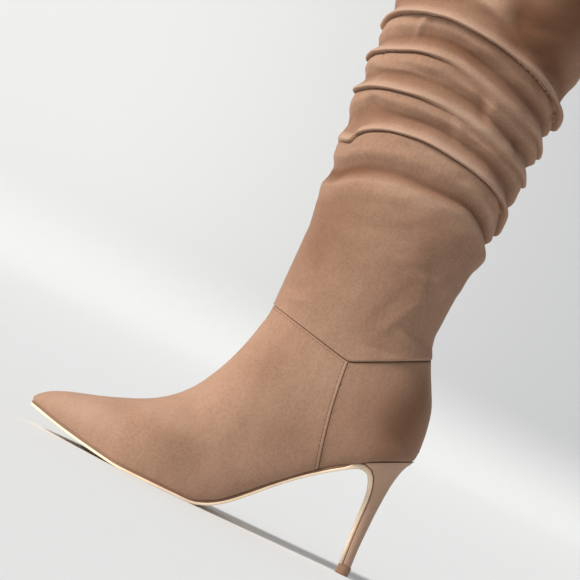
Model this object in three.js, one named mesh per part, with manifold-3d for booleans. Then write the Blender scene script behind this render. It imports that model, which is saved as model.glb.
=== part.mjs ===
// A left slouch boot with a pointed toe, a tall slim heel, a soft shaft that sags into folds
// and a concealed zip on the inner side. Millimetres: +X runs from heel to toe, +Y to the
// wearer's left, which is the outer side, and +Z up. The origin is on the floor at the middle
// of the top piece under the heel.
import * as THREE from 'three';
import Module from 'manifold-3d';
import { mergeVertices } from 'three/addons/utils/BufferGeometryUtils.js';

const wasm = await Module();
wasm.setup();

// Sizes. Each one can be changed by itself.
const bootLength = 241;          // heel curve to toe tip
const bootHeight = 455;          // floor to collar
const heelOverhang = 11;         // heel curve behind the middle of the top piece
const heelRise = 83.5;           // seat at the back above seat at the ball
const toeSpring = 10.7;          // seat at the toe tip above seat at the ball
const ankleHeight = 139;         // front end of the ankle seam above the floor
const ballWidth = 76;            // sole at its widest
const heelWidth = 47;            // sole at the heel seat
const ankleWidth = 76;           // upper and shaft, side to side, at the ankle
const calfWidth = 95;            // shaft, side to side, at the collar
const ankleDepth = 104;          // shaft, back to front, above the ankle
const calfDepth = 132;           // shaft, back to front, at the collar
const shaftLean = 3;             // forward shift of the shaft from ankle to collar
const wall = 2;                  // upper and shaft
const counterStep = 0.5;         // counter set back from the vamp
const lastingMargin = 9;         // upper turned in under the foot
const marginEase = 3;            // sole wider than the margin, each side, where it starts
const soleThickness = 3;
const soleLip = 0.7;             // sole edge outside the upper
const insoleThickness = 2;
const topPieceHeight = 6;
const topPieceLength = 9;
const topPieceWidth = 9.4;
const foldDepth = 4.2;           // deepest fold of the shaft
const slouchBottom = 214;        // lowest fold begins
const slouchHeight = 160;        // folds from lowest to highest
const zipBottom = 100;
const zipLength = 108;
const zipWidth = 5;
const sliderLength = 8;
const pullLength = 12;
const gap = 0.3;                 // between pieces that meet

// Sizes that follow from the others
const heelBack = -heelOverhang;
const seatAtBall = soleThickness + gap;
const slouchTop = slouchBottom + slouchHeight;

// Seat line, where the upper meets sole and heel, seen from the side.
// along: share of boot length from the heel curve. rise: share of heel rise. spring: of toe spring.
const seatRows = [
  { along: 0.000, rise: 1.000, spring: 0 },
  { along: 0.058, rise: 0.923, spring: 0 },
  { along: 0.116, rise: 0.838, spring: 0 },
  { along: 0.170, rise: 0.746, spring: 0 },
  { along: 0.220, rise: 0.643, spring: 0 },
  { along: 0.270, rise: 0.526, spring: 0 },
  { along: 0.320, rise: 0.392, spring: 0 },
  { along: 0.369, rise: 0.248, spring: 0 },
  { along: 0.419, rise: 0.111, spring: 0 },
  { along: 0.461, rise: 0.034, spring: 0 },
  { along: 0.502, rise: 0.000, spring: 0 },
  { along: 0.706, rise: 0, spring: 0.00 },
  { along: 0.768, rise: 0, spring: 0.13 },
  { along: 0.817, rise: 0, spring: 0.27 },
  { along: 0.867, rise: 0, spring: 0.43 },
  { along: 0.917, rise: 0, spring: 0.62 },
  { along: 0.967, rise: 0, spring: 0.85 },
  { along: 1.000, rise: 0, spring: 1.00 },
];

// Sole outline from above. heel and ball: shares of half the heel width and half the ball
// width, added together. shift: centre line towards the outer side, share of ball width.
const outlineRows = [
  { along: 0.000, heel: 0.05, ball: 0, shift: 0 },
  { along: 0.006, heel: 0.30, ball: 0, shift: 0 },
  { along: 0.021, heel: 0.56, ball: 0, shift: 0 },
  { along: 0.046, heel: 0.77, ball: 0, shift: 0 },
  { along: 0.079, heel: 0.915, ball: 0, shift: 0 },
  { along: 0.129, heel: 0.99, ball: 0, shift: 0 },
  { along: 0.212, heel: 1.00, ball: 0, shift: 0.008 },
  { along: 0.295, heel: 0.86, ball: 0.08, shift: 0.022 },
  { along: 0.378, heel: 0.50, ball: 0.335, shift: 0.034 },
  { along: 0.440, heel: 0.20, ball: 0.600, shift: 0.036 },
  { along: 0.502, heel: 0, ball: 0.842, shift: 0.032 },
  { along: 0.564, heel: 0, ball: 0.947, shift: 0.024 },
  { along: 0.627, heel: 0, ball: 1.000, shift: 0.012 },
  { along: 0.689, heel: 0, ball: 0.990, shift: -0.002 },
  { along: 0.751, heel: 0, ball: 0.905, shift: -0.020 },
  { along: 0.813, heel: 0, ball: 0.763, shift: -0.040 },
  { along: 0.876, heel: 0, ball: 0.592, shift: -0.060 },
  { along: 0.925, heel: 0, ball: 0.434, shift: -0.074 },
  { along: 0.967, heel: 0, ball: 0.276, shift: -0.085 },
  { along: 0.988, heel: 0, ball: 0.171, shift: -0.090 },
  { along: 1.000, heel: 0, ball: 0.075, shift: -0.092 },
];

// Sections of the upper, toe to ankle, each in a plane across the boot. The front end of a
// section lies on the instep: front is its share of boot length and up its share of ankle
// height. The other end lies on the seat line at the share under. half: widest half width, as
// a share of half the ball width. widest: its place from front end to the other.
const footRows = [
  { front: 0.9990, up: 0.127, under: 0.9990, half: 0.080, widest: 0.60 },
  { front: 0.9900, up: 0.144, under: 0.9900, half: 0.168, widest: 0.66 },
  { front: 0.9670, up: 0.174, under: 0.9670, half: 0.288, widest: 0.70 },
  { front: 0.9290, up: 0.205, under: 0.9290, half: 0.432, widest: 0.72 },
  { front: 0.8840, up: 0.233, under: 0.8840, half: 0.578, widest: 0.72 },
  { front: 0.8340, up: 0.263, under: 0.8340, half: 0.718, widest: 0.72 },
  { front: 0.7840, up: 0.295, under: 0.7800, half: 0.848, widest: 0.72 },
  { front: 0.7390, up: 0.329, under: 0.7260, half: 0.955, widest: 0.72 },
  { front: 0.6990, up: 0.369, under: 0.6680, half: 1.012, widest: 0.71 },
  { front: 0.6660, up: 0.414, under: 0.6100, half: 1.010, widest: 0.69 },
  { front: 0.6390, up: 0.461, under: 0.5520, half: 0.970, widest: 0.66 },
  { front: 0.6140, up: 0.519, under: 0.4940, half: 0.912, widest: 0.62 },
  { front: 0.5925, up: 0.587, under: 0.4360, half: 0.862, widest: 0.58 },
  { front: 0.5765, up: 0.648, under: 0.3780, half: 0.830, widest: 0.55 },
  { front: 0.5635, up: 0.709, under: 0.3150, half: 0.815, widest: 0.53 },
  { front: 0.5530, up: 0.766, under: 0.2490, half: 0.815, widest: 0.51 },
  { front: 0.5445, up: 0.817, under: 0.1830, half: 0.822, widest: 0.50 },
  { front: 0.5380, up: 0.860, under: 0.1160, half: 0.833, widest: 0.50 },
  { front: 0.5335, up: 0.896, under: 0.0500, half: 0.848, widest: 0.50 },
  { front: 0.5305, up: 0.915, under: 0.0110, half: 0.858, widest: 0.50 },
];

// Sections round the back of the heel and the ankle. back and rear: the rear end, as shares of
// boot length and ankle height. half: share of half the ankle width.
const ankleRows = [
  { front: 0.5290, up: 0.932, back: 0.0012, rear: 0.655, half: 0.870 },
  { front: 0.5275, up: 0.958, back: 0.0026, rear: 0.720, half: 0.885 },
  { front: 0.5270, up: 0.987, back: 0.0095, rear: 0.802, half: 0.900 },
  { front: 0.5280, up: 1.016, back: 0.0215, rear: 0.881, half: 0.920 },
  { front: 0.5290, up: 1.045, back: 0.0430, rear: 0.957, half: 0.940 },
  { front: 0.5300, up: 1.075, back: 0.0650, rear: 1.029, half: 0.960 },
  { front: 0.5305, up: 1.108, back: 0.0840, rear: 1.101, half: 0.980 },
];

// The shaft without its folds. level: share of the height from the last ankle section to the
// collar. swell: share of the way from the ankle's width and depth to the calf's. lean: share
// of the forward shift.
const shaftRows = [
  { level: 0.00, swell: 0.00, lean: 0.00 },
  { level: 0.08, swell: 0.03, lean: 0.02 },
  { level: 0.18, swell: 0.16, lean: 0.06 },
  { level: 0.28, swell: 0.48, lean: 0.20 },
  { level: 0.40, swell: 0.80, lean: 0.50 },
  { level: 0.55, swell: 0.95, lean: 0.90 },
  { level: 0.72, swell: 1.00, lean: 1.00 },
  { level: 1.00, swell: 1.00, lean: 1.00 },
];

// Folds of the shaft, lowest first. front, outer, back and inner: the fold's height at those
// sides, as a share of slouch height. out: how far it stands out, or in when below zero, as a
// share of fold depth. above and below: its reach, as a share of slouch height.
const foldRows = [
  { front: 0.085, outer: 0.175, back: 0.090, inner: 0.150, out: 0.35, above: 0.07, below: 0.16 },
  { front: 0.145, outer: 0.220, back: 0.175, inner: 0.200, out: -0.45, above: 0.08, below: 0.05 },
  { front: 0.270, outer: 0.400, back: 0.165, inner: 0.330, out: 0.95, above: 0.06, below: 0.17 },
  { front: 0.345, outer: 0.450, back: 0.300, inner: 0.405, out: -0.60, above: 0.09, below: 0.05 },
  { front: 0.460, outer: 0.555, back: 0.450, inner: 0.480, out: 0.75, above: 0.06, below: 0.12 },
  { front: 0.525, outer: 0.610, back: 0.530, inner: 0.550, out: -0.55, above: 0.06, below: 0.05 },
  { front: 0.590, outer: 0.720, back: 0.625, inner: 0.640, out: 0.85, above: 0.06, below: 0.12 },
  { front: 0.660, outer: 0.770, back: 0.740, inner: 0.700, out: -0.60, above: 0.07, below: 0.05 },
  { front: 0.745, outer: 0.885, back: 0.665, inner: 0.820, out: 1.00, above: 0.08, below: 0.13 },
  { front: 0.870, outer: 0.975, back: 0.800, inner: 0.930, out: -0.45, above: 0.10, below: 0.06 },
];

// Front corner of the heel and the strip down its front, as the sole's visible face runs from
// the arch to the top piece. back and down: shares of the way from where the sole leaves the
// seat line to the top piece. half: share of half the heel width. thick: of sole thickness.
const stripRows = [
  { back: 0.000, down: 0.000, half: 0.985, thick: 1.00 },
  { back: 0.170, down: -0.030, half: 0.945, thick: 1.12 },
  { back: 0.335, down: -0.038, half: 0.850, thick: 1.25 },
  { back: 0.500, down: -0.022, half: 0.720, thick: 1.25 },
  { back: 0.625, down: 0.016, half: 0.595, thick: 1.10 },
  { back: 0.720, down: 0.080, half: 0.470, thick: 0.95 },
  { back: 0.795, down: 0.165, half: 0.365, thick: 0.85 },
  { back: 0.840, down: 0.270, half: 0.305, thick: 0.80 },
  { back: 0.873, down: 0.457, half: 0.255, thick: 0.75 },
  { back: 0.920, down: 0.697, half: 0.220, thick: 0.70 },
  { back: 1.000, down: 1.000, half: 0.200, thick: 0.65 },
];
const stripLeave = 0.154;        // share of boot length where the sole leaves the seat line

// Sections of the heel, floor to seat. rear and fore: heights at back and front, as shares of
// the seat's height at the back. back: the rear end, as a share of the heel's overhang behind
// the top piece. half: share of half the heel width.
const heelRows = [
  { rear: 0.000, fore: 0.000, back: 0.00, half: 0.200 },
  { rear: 0.220, fore: 0.215, back: -0.14, half: 0.220 },
  { rear: 0.420, fore: 0.400, back: -0.15, half: 0.252 },
  { rear: 0.570, fore: 0.520, back: -0.10, half: 0.305 },
  { rear: 0.680, fore: 0.600, back: -0.03, half: 0.400 },
  { rear: 0.770, fore: 0.655, back: 0.08, half: 0.545 },
  { rear: 0.850, fore: 0.705, back: 0.26, half: 0.725 },
  { rear: 0.925, fore: 0.760, back: 0.55, half: 0.875 },
  { rear: 0.985, fore: 0.820, back: 0.92, half: 0.955 },
  { rear: 1.060, fore: 0.900, back: 1.08, half: 0.985 },
];
const heelFront = 0.122;         // share of boot length where the heel ends under the arch

// Ankle seam and the seam from its lowest point to the sole, seen from the side.
const seamPoint = { along: 0.274, up: 0.907 };
const seamBack = { along: 0.083, up: 1.085 };
const seamFoot = { along: 0.231 };

// Reads a column of a table at a place, with a smooth line that stays between its rows.
function readTable(rows, place, column, at) {
  const last = rows.length - 1;
  const x = rows.map((row) => row[place]);
  const y = rows.map((row) => row[column]);
  const t = Math.min(Math.max(at, x[0]), x[last]);
  let i = 0;
  while (i < last - 1 && t > x[i + 1]) i += 1;
  const grade = (k) => (y[k + 1] - y[k]) / (x[k + 1] - x[k]);
  const slope = (k) => {
    if (k === 0) return grade(0);
    if (k === last) return grade(last - 1);
    const before = grade(k - 1);
    const after = grade(k);
    return before * after <= 0 ? 0 : (2 * before * after) / (before + after);
  };
  const span = x[i + 1] - x[i];
  const s = (t - x[i]) / span;
  const a = y[i] * (1 + 2 * s) * (1 - s) ** 2 + y[i + 1] * s * s * (3 - 2 * s);
  return a + span * s * (1 - s) * (slope(i) * (1 - s) - slope(i + 1) * s);
}

const lerp = (a, b, t) => a + (b - a) * t;
const xAt = (share) => heelBack + share * bootLength;
const shareAt = (x) => (x - heelBack) / bootLength;

function seatHeight(x) {
  const share = shareAt(x);
  const rise = readTable(seatRows, 'along', 'rise', share);
  const spring = readTable(seatRows, 'along', 'spring', share);
  return seatAtBall + rise * heelRise + spring * toeSpring;
}

// A point of the seat line moved at right angles to it, up when the offset is above zero.
function seatPoint(x, offset) {
  const step = 1;
  const slope = (seatHeight(x + step) - seatHeight(x - step)) / (2 * step);
  const length = Math.hypot(1, slope);
  return { x: x - (slope / length) * offset, z: seatHeight(x) + offset / length };
}

function outlineHalf(x) {
  const share = shareAt(x);
  const heel = readTable(outlineRows, 'along', 'heel', share) * (heelWidth / 2);
  return heel + readTable(outlineRows, 'along', 'ball', share) * (ballWidth / 2);
}

function centreShift(x) {
  return readTable(outlineRows, 'along', 'shift', shareAt(x)) * ballWidth;
}

// Geometry to solid and back.
function toSolid(geometry) {
  const bare = geometry.clone();
  bare.deleteAttribute('normal');
  bare.deleteAttribute('uv');
  const merged = mergeVertices(bare, 1e-4);
  return new wasm.Manifold(new wasm.Mesh({
    numProp: 3,
    vertProperties: new Float32Array(merged.attributes.position.array),
    triVerts: new Uint32Array(merged.index.array),
  }));
}

function toGeometry(solid) {
  const mesh = solid.getMesh();
  const geometry = new THREE.BufferGeometry();
  const positions = new Float32Array(mesh.vertProperties);
  geometry.setAttribute('position', new THREE.BufferAttribute(positions, 3));
  geometry.setIndex(new THREE.BufferAttribute(new Uint32Array(mesh.triVerts), 1));
  const flat = geometry.toNonIndexed();
  flat.computeVertexNormals();
  return flat;
}

// The largest body of a solid, without the slivers that a cut can leave beside it.
function largest(solid) {
  return solid.decompose().sort((a, b) => b.volume() - a.volume())[0];
}

// A solid skinned over rings of the same number of points, closed by a fan at each end.
function skin(rings) {
  const positions = [];
  const index = [];
  const count = rings[0].length;
  for (const ring of rings) {
    for (const point of ring) positions.push(...point);
  }
  for (const ring of [rings[0], rings[rings.length - 1]]) {
    const middle = [0, 1, 2].map((axis) => ring.reduce((sum, p) => sum + p[axis], 0) / count);
    positions.push(...middle);
  }
  const first = rings.length * count;
  for (let r = 0; r < rings.length - 1; r += 1) {
    for (let k = 0; k < count; k += 1) {
      const a = r * count + k;
      const b = r * count + ((k + 1) % count);
      index.push(a, b, b + count, a, b + count, a + count);
    }
  }
  const top = (rings.length - 1) * count;
  for (let k = 0; k < count; k += 1) {
    const next = (k + 1) % count;
    index.push(first, next, k, first + 1, top + k, top + next);
  }
  const geometry = new THREE.BufferGeometry();
  geometry.setAttribute('position', new THREE.Float32BufferAttribute(positions, 3));
  geometry.setIndex(index);
  const solid = toSolid(geometry);
  if (solid.volume() > 0) return solid;
  geometry.setIndex(index.reverse());
  return toSolid(geometry);
}

// A prism across the boot over an outline of side-view points, from one y to another.
function prism(outline, fromY, toY) {
  const shape = new THREE.Shape(outline.map((point) => new THREE.Vector2(point.x, point.z)));
  const geometry = new THREE.ExtrudeGeometry(shape, {
    depth: toY - fromY, bevelEnabled: false, steps: 1,
  });
  geometry.rotateX(Math.PI / 2);
  geometry.translate(0, toY, 0);
  return toSolid(geometry);
}

const sideSteps = 7;             // facets from the front of a section to its widest place
const reachY = calfWidth + ballWidth;

// One section of the outside, moved inwards by an inset. front and rear are its ends.
function section({ front, rear, half, flat, widest, shift }, inset) {
  const length = Math.hypot(rear.x - front.x, rear.z - front.z);
  const along = { x: (rear.x - front.x) / length, z: (rear.z - front.z) / length };
  const inner = length - 2 * inset;
  const wide = half - inset;
  const low = Math.max(flat - inset, 1.2);
  const side = [];
  for (let k = 1; k <= sideSteps; k += 1) {
    const turn = (k / sideSteps) * (Math.PI / 2);
    side.push({ at: widest * (1 - Math.cos(turn)), y: wide * Math.sin(turn) });
  }
  for (let k = 1; k <= sideSteps; k += 1) {
    const turn = (k / sideSteps) * (Math.PI / 2);
    side.push({ at: lerp(widest, 1, Math.sin(turn)), y: low + (wide - low) * Math.cos(turn) });
  }
  const place = (at, y) => {
    const reach = inset + at * inner;
    return [front.x + along.x * reach, shift + y, front.z + along.z * reach];
  };
  const outer = side.map((point) => place(point.at, point.y));
  const other = side.map((point) => place(point.at, -point.y)).reverse();
  return [place(0, 0), ...outer, place(1, 0), ...other];
}

function footSection(row) {
  const front = { x: xAt(row.front), z: row.up * ankleHeight };
  const seat = { x: xAt(row.under), z: seatHeight(xAt(row.under)) };
  const length = Math.hypot(seat.x - front.x, seat.z - front.z);
  const past = (length + wall) / length;
  const rear = { x: lerp(front.x, seat.x, past), z: lerp(front.z, seat.z, past) };
  const flat = outlineHalf(seat.x) - soleLip;
  const half = Math.max((row.half * ballWidth) / 2, flat + gap);
  return { front, rear, half, flat, widest: row.widest, shift: centreShift(seat.x) };
}

function ankleSection(row) {
  const front = { x: xAt(row.front), z: row.up * ankleHeight };
  const rear = { x: xAt(row.back), z: row.rear * ankleHeight };
  return { front, rear, half: (row.half * ankleWidth) / 2, flat: 0, widest: 0.5, shift: 0 };
}

// How far the folds move the shaft's surface at a height and a turn round it. The turn is 0 at
// the front and a quarter at the outer side.
function foldAt(turn, z) {
  let out = 0;
  for (const row of foldRows) {
    const mean = (row.front + row.outer + row.back + row.inner) / 4;
    const tilt = ((row.front - row.back) / 2) * Math.cos(turn);
    const roll = ((row.outer - row.inner) / 2) * Math.sin(turn);
    const bow = ((row.front + row.back - row.outer - row.inner) / 4) * Math.cos(2 * turn);
    const level = slouchBottom + (mean + tilt + roll + bow) * slouchHeight;
    const reach = (z > level ? row.above : row.below) * slouchHeight;
    const off = Math.min(Math.abs(z - level) / reach, 1);
    out += row.out * foldDepth * Math.cos((off * Math.PI) / 2) ** 2;
  }
  return out;
}

const shaftFoot = ankleHeight * ankleRows[ankleRows.length - 1].up;
const ankleFront = xAt(ankleRows[ankleRows.length - 1].front);

function shaftSection(z) {
  const level = (z - shaftFoot) / (bootHeight - shaftFoot);
  const swell = readTable(shaftRows, 'level', 'swell', level);
  const lean = readTable(shaftRows, 'level', 'lean', level) * shaftLean;
  const depth = lerp(ankleDepth, calfDepth, swell);
  const middle = ankleFront - ankleDepth / 2 + lean;
  return {
    front: { x: middle + depth / 2, z },
    rear: { x: middle - depth / 2, z },
    half: lerp(ankleWidth, calfWidth, swell) / 2,
    flat: 0,
    widest: 0.5,
    shift: 0,
  };
}

function foldedRing(z, inset, height = z) {
  const shape = shaftSection(z);
  const middle = (shape.front.x + shape.rear.x) / 2;
  return section(shape, inset).map(([x, y]) => {
    const reach = Math.hypot(x - middle, y);
    const grow = 1 + foldAt(Math.atan2(y, x - middle), z) / reach;
    return [middle + (x - middle) * grow, y * grow, height];
  });
}

function shaftLevels() {
  const levels = [];
  const plain = (slouchBottom - shaftFoot) / 4;
  for (let k = 1; k <= 4; k += 1) levels.push(shaftFoot + k * plain);
  const foldRings = 26;
  for (let k = 1; k <= foldRings; k += 1) {
    levels.push(slouchBottom + (k / foldRings) * slouchHeight);
  }
  for (const share of [0.2, 0.5, 0.8]) levels.push(lerp(slouchTop, bootHeight, share));
  return levels;
}

// The whole boot without its sole, as one body moved inwards by an inset. The toe's smallest
// sections are left out of an inner body, and its top stands past the collar.
function bootBody(inset, past = 0) {
  const feet = footRows.map(footSection).filter((row) => row.half > inset * 4 + 1);
  const rings = [...feet, ...ankleRows.map(ankleSection)].map((row) => section(row, inset));
  for (const z of shaftLevels()) rings.push(foldedRing(z, inset));
  rings.push(foldedRing(bootHeight, inset));
  if (past > 0) rings.push(foldedRing(bootHeight, inset, bootHeight + past));
  return skin(rings);
}

// Side-view outlines of everything under or over the seat line, moved by an offset.
function seatOutline(offset, closeZ) {
  const points = [];
  for (let share = -0.02; share <= 1.0201; share += 0.02) points.push(seatPoint(xAt(share), offset));
  const first = points[0];
  const last = points[points.length - 1];
  points.unshift({ x: first.x - heelOverhang * 2, z: first.z + heelOverhang });
  points.push({ x: last.x + heelOverhang * 2, z: last.z + heelOverhang / 2 });
  points.push({ x: last.x + heelOverhang * 2, z: closeZ });
  points.push({ x: first.x - heelOverhang * 2, z: closeZ });
  return points;
}

const under = (offset) => prism(seatOutline(offset, -bootHeight), -reachY, reachY);
const over = (offset) => prism(seatOutline(offset, bootHeight * 2), -reachY, reachY);

// A slab that follows the seat line, between two offsets from it, inside the sole outline.
function seatSlab(inset, low, high, fromX, toX) {
  const rings = [];
  const count = 44;
  for (let k = 0; k <= count; k += 1) {
    const x = lerp(fromX, toX, k / count);
    const half = outlineHalf(x) - inset;
    const shift = centreShift(x);
    const bottom = seatPoint(x, low);
    const top = seatPoint(x, high);
    rings.push([
      [bottom.x, shift + half, bottom.z],
      [top.x, shift + half, top.z],
      [top.x, shift - half, top.z],
      [bottom.x, shift - half, bottom.z],
    ]);
  }
  return skin(rings);
}

// The first place from the toe or the heel where the sole outline is wide enough.
function placeOfHalf(half, fromX, toX) {
  const steps = 400;
  for (let k = 0; k <= steps; k += 1) {
    const x = lerp(fromX, toX, k / steps);
    if (outlineHalf(x) >= half) return x;
  }
  return toX;
}

function ballPlace() {
  return xAt(0.627);
}

// Upper and shaft
const outside = bootBody(0);
const inside = bootBody(wall, wall * 2).subtract(under(wall));
const marginStart = placeOfHalf(lastingMargin + marginEase, heelBack, ballPlace());
const marginEnd = placeOfHalf(lastingMargin + marginEase, xAt(1), ballPlace());
const footOpening = seatSlab(lastingMargin, -wall, wall * 2, marginStart, marginEnd);
const shell = outside.subtract(inside).subtract(footOpening).subtract(under(0));

const seamLow = { x: xAt(seamPoint.along), z: seamPoint.up * ankleHeight };
const seamFront = { x: ankleFront, z: ankleHeight };
const seamRear = { x: xAt(seamBack.along), z: seamBack.up * ankleHeight };

// Everything over the ankle seam, raised by an amount.
function overSeam(raise) {
  const ahead = lerp(seamLow.z, seamFront.z, (xAt(1) - seamLow.x) / (seamFront.x - seamLow.x));
  const behind = lerp(seamLow.z, seamRear.z, (seamLow.x - xAt(-0.3)) / (seamLow.x - seamRear.x));
  return prism([
    { x: xAt(-0.3), z: behind + raise },
    { x: seamLow.x, z: seamLow.z + raise },
    { x: xAt(1), z: ahead + raise },
    { x: xAt(1), z: bootHeight * 2 },
    { x: xAt(-0.3), z: bootHeight * 2 },
  ], -reachY, reachY);
}

function counterZone() {
  const foot = { x: xAt(seamFoot.along), z: seatHeight(xAt(seamFoot.along)) };
  const toe = { x: lerp(seamLow.x, foot.x, 1.3), z: lerp(seamLow.z, foot.z, 1.3) };
  return prism([
    { x: seamLow.x, z: bootHeight },
    seamLow,
    toe,
    { x: xAt(-0.3), z: toe.z },
    { x: xAt(-0.3), z: bootHeight },
  ], -reachY, reachY);
}

// The zip's band on the inner side, made narrower and shorter by an inset.
const zipTop = zipBottom + zipLength;
const zipX = (z) => lerp(seamLow.x, seamLow.x + zipWidth, (z - seamLow.z) / zipLength);
function zipBand(inset) {
  const half = zipWidth / 2 - inset;
  const low = zipBottom + inset;
  const high = zipTop - inset;
  return prism([
    { x: zipX(low) - half, z: low },
    { x: zipX(low) + half, z: low },
    { x: zipX(high) + half, z: high },
    { x: zipX(high) - half, z: high },
  ], -reachY, -wall * 3);
}

const counterSkin = outside.subtract(bootBody(counterStep)).intersect(counterZone());
const zipHole = zipBand(0);
const upper = largest(shell.subtract(overSeam(0)).subtract(counterSkin).subtract(zipHole));
const shaft = largest(shell.intersect(overSeam(gap)).subtract(zipHole));
const zipTape = shell.intersect(zipBand(gap));

// Outsole, from the toe under the arch and down the front of the heel
const leave = seatPoint(xAt(stripLeave), -gap - soleThickness);
const stripFoot = { x: topPieceLength / 2, z: topPieceHeight + gap };

function soleRing(face, back, half, shift) {
  return [
    [face.x, shift + half, face.z],
    [back.x, shift + half, back.z],
    [back.x, shift - half, back.z],
    [face.x, shift - half, face.z],
  ];
}

function stripPoints() {
  return stripRows.map((row) => ({
    x: lerp(leave.x, stripFoot.x, row.back),
    z: lerp(leave.z, stripFoot.z, row.down),
    half: (row.half * heelWidth) / 2,
    thick: row.thick * soleThickness,
  }));
}

// The side of the strip that faces the heel, moved further back by an extra amount.
function stripBack(extra) {
  const points = stripPoints();
  return points.map((point, k) => {
    const before = points[Math.max(k - 1, 0)];
    const after = points[Math.min(k + 1, points.length - 1)];
    const length = Math.hypot(after.x - before.x, after.z - before.z);
    const away = { x: (after.z - before.z) / length, z: -(after.x - before.x) / length };
    const reach = point.thick + extra;
    return { x: point.x + away.x * reach, z: point.z + away.z * reach };
  });
}

function outsoleSolid() {
  const rings = [];
  const count = 40;
  for (let k = 0; k < count; k += 1) {
    const x = xAt(lerp(1, stripLeave, k / count));
    const face = seatPoint(x, -gap - soleThickness);
    rings.push(soleRing(face, seatPoint(x, -gap), outlineHalf(x), centreShift(x)));
  }
  const backs = stripBack(0);
  stripPoints().forEach((face, k) => {
    const shift = k === 0 ? centreShift(face.x) : 0;
    const back = { x: backs[k].x, z: Math.max(backs[k].z, stripFoot.z) };
    rings.push(soleRing(face, k === 0 ? seatPoint(xAt(stripLeave), -gap) : back, face.half, shift));
  });
  const last = rings.length - 1;
  for (const point of rings[last]) point[2] = stripFoot.z;
  return skin(rings).subtract(over(-gap));
}

// Heel: sections with a round back and a flat front, cut to the strip and to the seat
function heelSection(row) {
  const seatBack = seatHeight(heelBack);
  const base = topPieceHeight + gap;
  const tipBack = -topPieceLength / 2 + soleLip;
  const rear = { x: lerp(tipBack, heelBack + gap, row.back), z: lerp(base, seatBack, row.rear) };
  const fore = { x: xAt(heelFront), z: lerp(base, seatBack, row.fore) };
  const half = (row.half * heelWidth) / 2;
  const round = Math.min(half * 1.15, fore.x - rear.x);
  const length = fore.x - rear.x;
  const side = [];
  const steps = 8;
  for (let k = 1; k <= steps; k += 1) {
    const turn = (k / steps) * (Math.PI / 2);
    side.push({ x: rear.x + round * (1 - Math.cos(turn)), y: half * Math.sin(turn) });
  }
  side.push({ x: fore.x, y: half });
  const place = (x, y) => [x, y, lerp(rear.z, fore.z, (x - rear.x) / length)];
  const outer = side.map((point) => place(point.x, point.y));
  const other = side.map((point) => place(point.x, -point.y)).reverse();
  return [place(rear.x, 0), ...outer, ...other];
}

function stripCut() {
  const backs = stripBack(gap);
  const start = seatPoint(xAt(stripLeave), 0);
  const last = backs[backs.length - 1];
  return prism([
    start,
    ...backs.slice(1),
    { x: last.x, z: -topPieceHeight },
    { x: xAt(0.5), z: -topPieceHeight },
    { x: xAt(0.5), z: start.z },
  ], -reachY, reachY);
}

const heel = skin(heelRows.map(heelSection)).subtract(over(-gap)).subtract(stripCut());

function topPieceSection(z, draft) {
  const half = topPieceWidth / 2 - draft;
  const back = -topPieceLength / 2 + draft;
  const front = topPieceLength / 2 - draft / 2;
  const round = Math.min(half, topPieceLength * 0.6);
  const side = [];
  const steps = 8;
  for (let k = 1; k <= steps; k += 1) {
    const turn = (k / steps) * (Math.PI / 2);
    side.push([back + round * (1 - Math.cos(turn)), half * Math.sin(turn), z]);
  }
  side.push([front, half, z]);
  return [[back, 0, z], ...side, ...side.map(([x, y, up]) => [x, -y, up]).reverse()];
}

const topPiece = skin([
  topPieceSection(0, 0.15),
  topPieceSection(0.4, 0),
  topPieceSection(topPieceHeight, 0.1),
]);

// Insole: on the lasting margin, inside the upper
const insoleStart = placeOfHalf(wall * 3, heelBack, ballPlace());
const insoleEnd = placeOfHalf(wall * 4, xAt(1), ballPlace());
const insoleLow = wall + gap;
const insoleSlab = seatSlab(wall, insoleLow, insoleLow + insoleThickness, insoleStart, insoleEnd);
const insole = insoleSlab.intersect(bootBody(wall + gap * 1.5, wall));

// Zip slider and its pull tab, outside the top of the tape
const sliderX = zipX(zipTop - sliderLength);
const sliderLow = zipTop - sliderLength - gap;
const wallFace = Math.min(...foldedRing(zipTop, 0).map((point) => point[1]));
const plate = 1.2;
const pinRadius = 0.55;
const eyeRadius = 1.1;
const eyeWidth = zipWidth * 0.66;
const earWidth = 0.9;
const plateFace = wallFace - gap - plate;
const pinY = plateFace - gap - eyeRadius;
const pinZ = sliderLow + eyeRadius * 1.5;
const sliderWidth = eyeWidth + 2 * (earWidth + gap);

function box(width, depth, height, x, y, z) {
  const geometry = new THREE.BoxGeometry(width, depth, height);
  geometry.translate(x, y, z);
  return toSolid(geometry);
}

function rodAcross(radius, length, x, y, z) {
  const geometry = new THREE.CylinderGeometry(radius, radius, length, 20);
  geometry.rotateZ(Math.PI / 2);
  geometry.translate(x, y, z);
  return toSolid(geometry);
}

function sliderSolid() {
  const middle = sliderLow + sliderLength / 2;
  let solid = box(sliderWidth, plate, sliderLength, sliderX, wallFace - gap - plate / 2, middle);
  const earDepth = plateFace - pinY + eyeRadius;
  for (const side of [-1, 1]) {
    const x = sliderX + side * (sliderWidth - earWidth) / 2;
    const ear = box(earWidth, earDepth + plate / 2, eyeRadius * 2, x, plateFace + plate / 2
      - (earDepth + plate / 2) / 2, pinZ);
    solid = solid.add(ear);
  }
  return solid.add(rodAcross(pinRadius, sliderWidth - earWidth, sliderX, pinY, pinZ));
}

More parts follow.
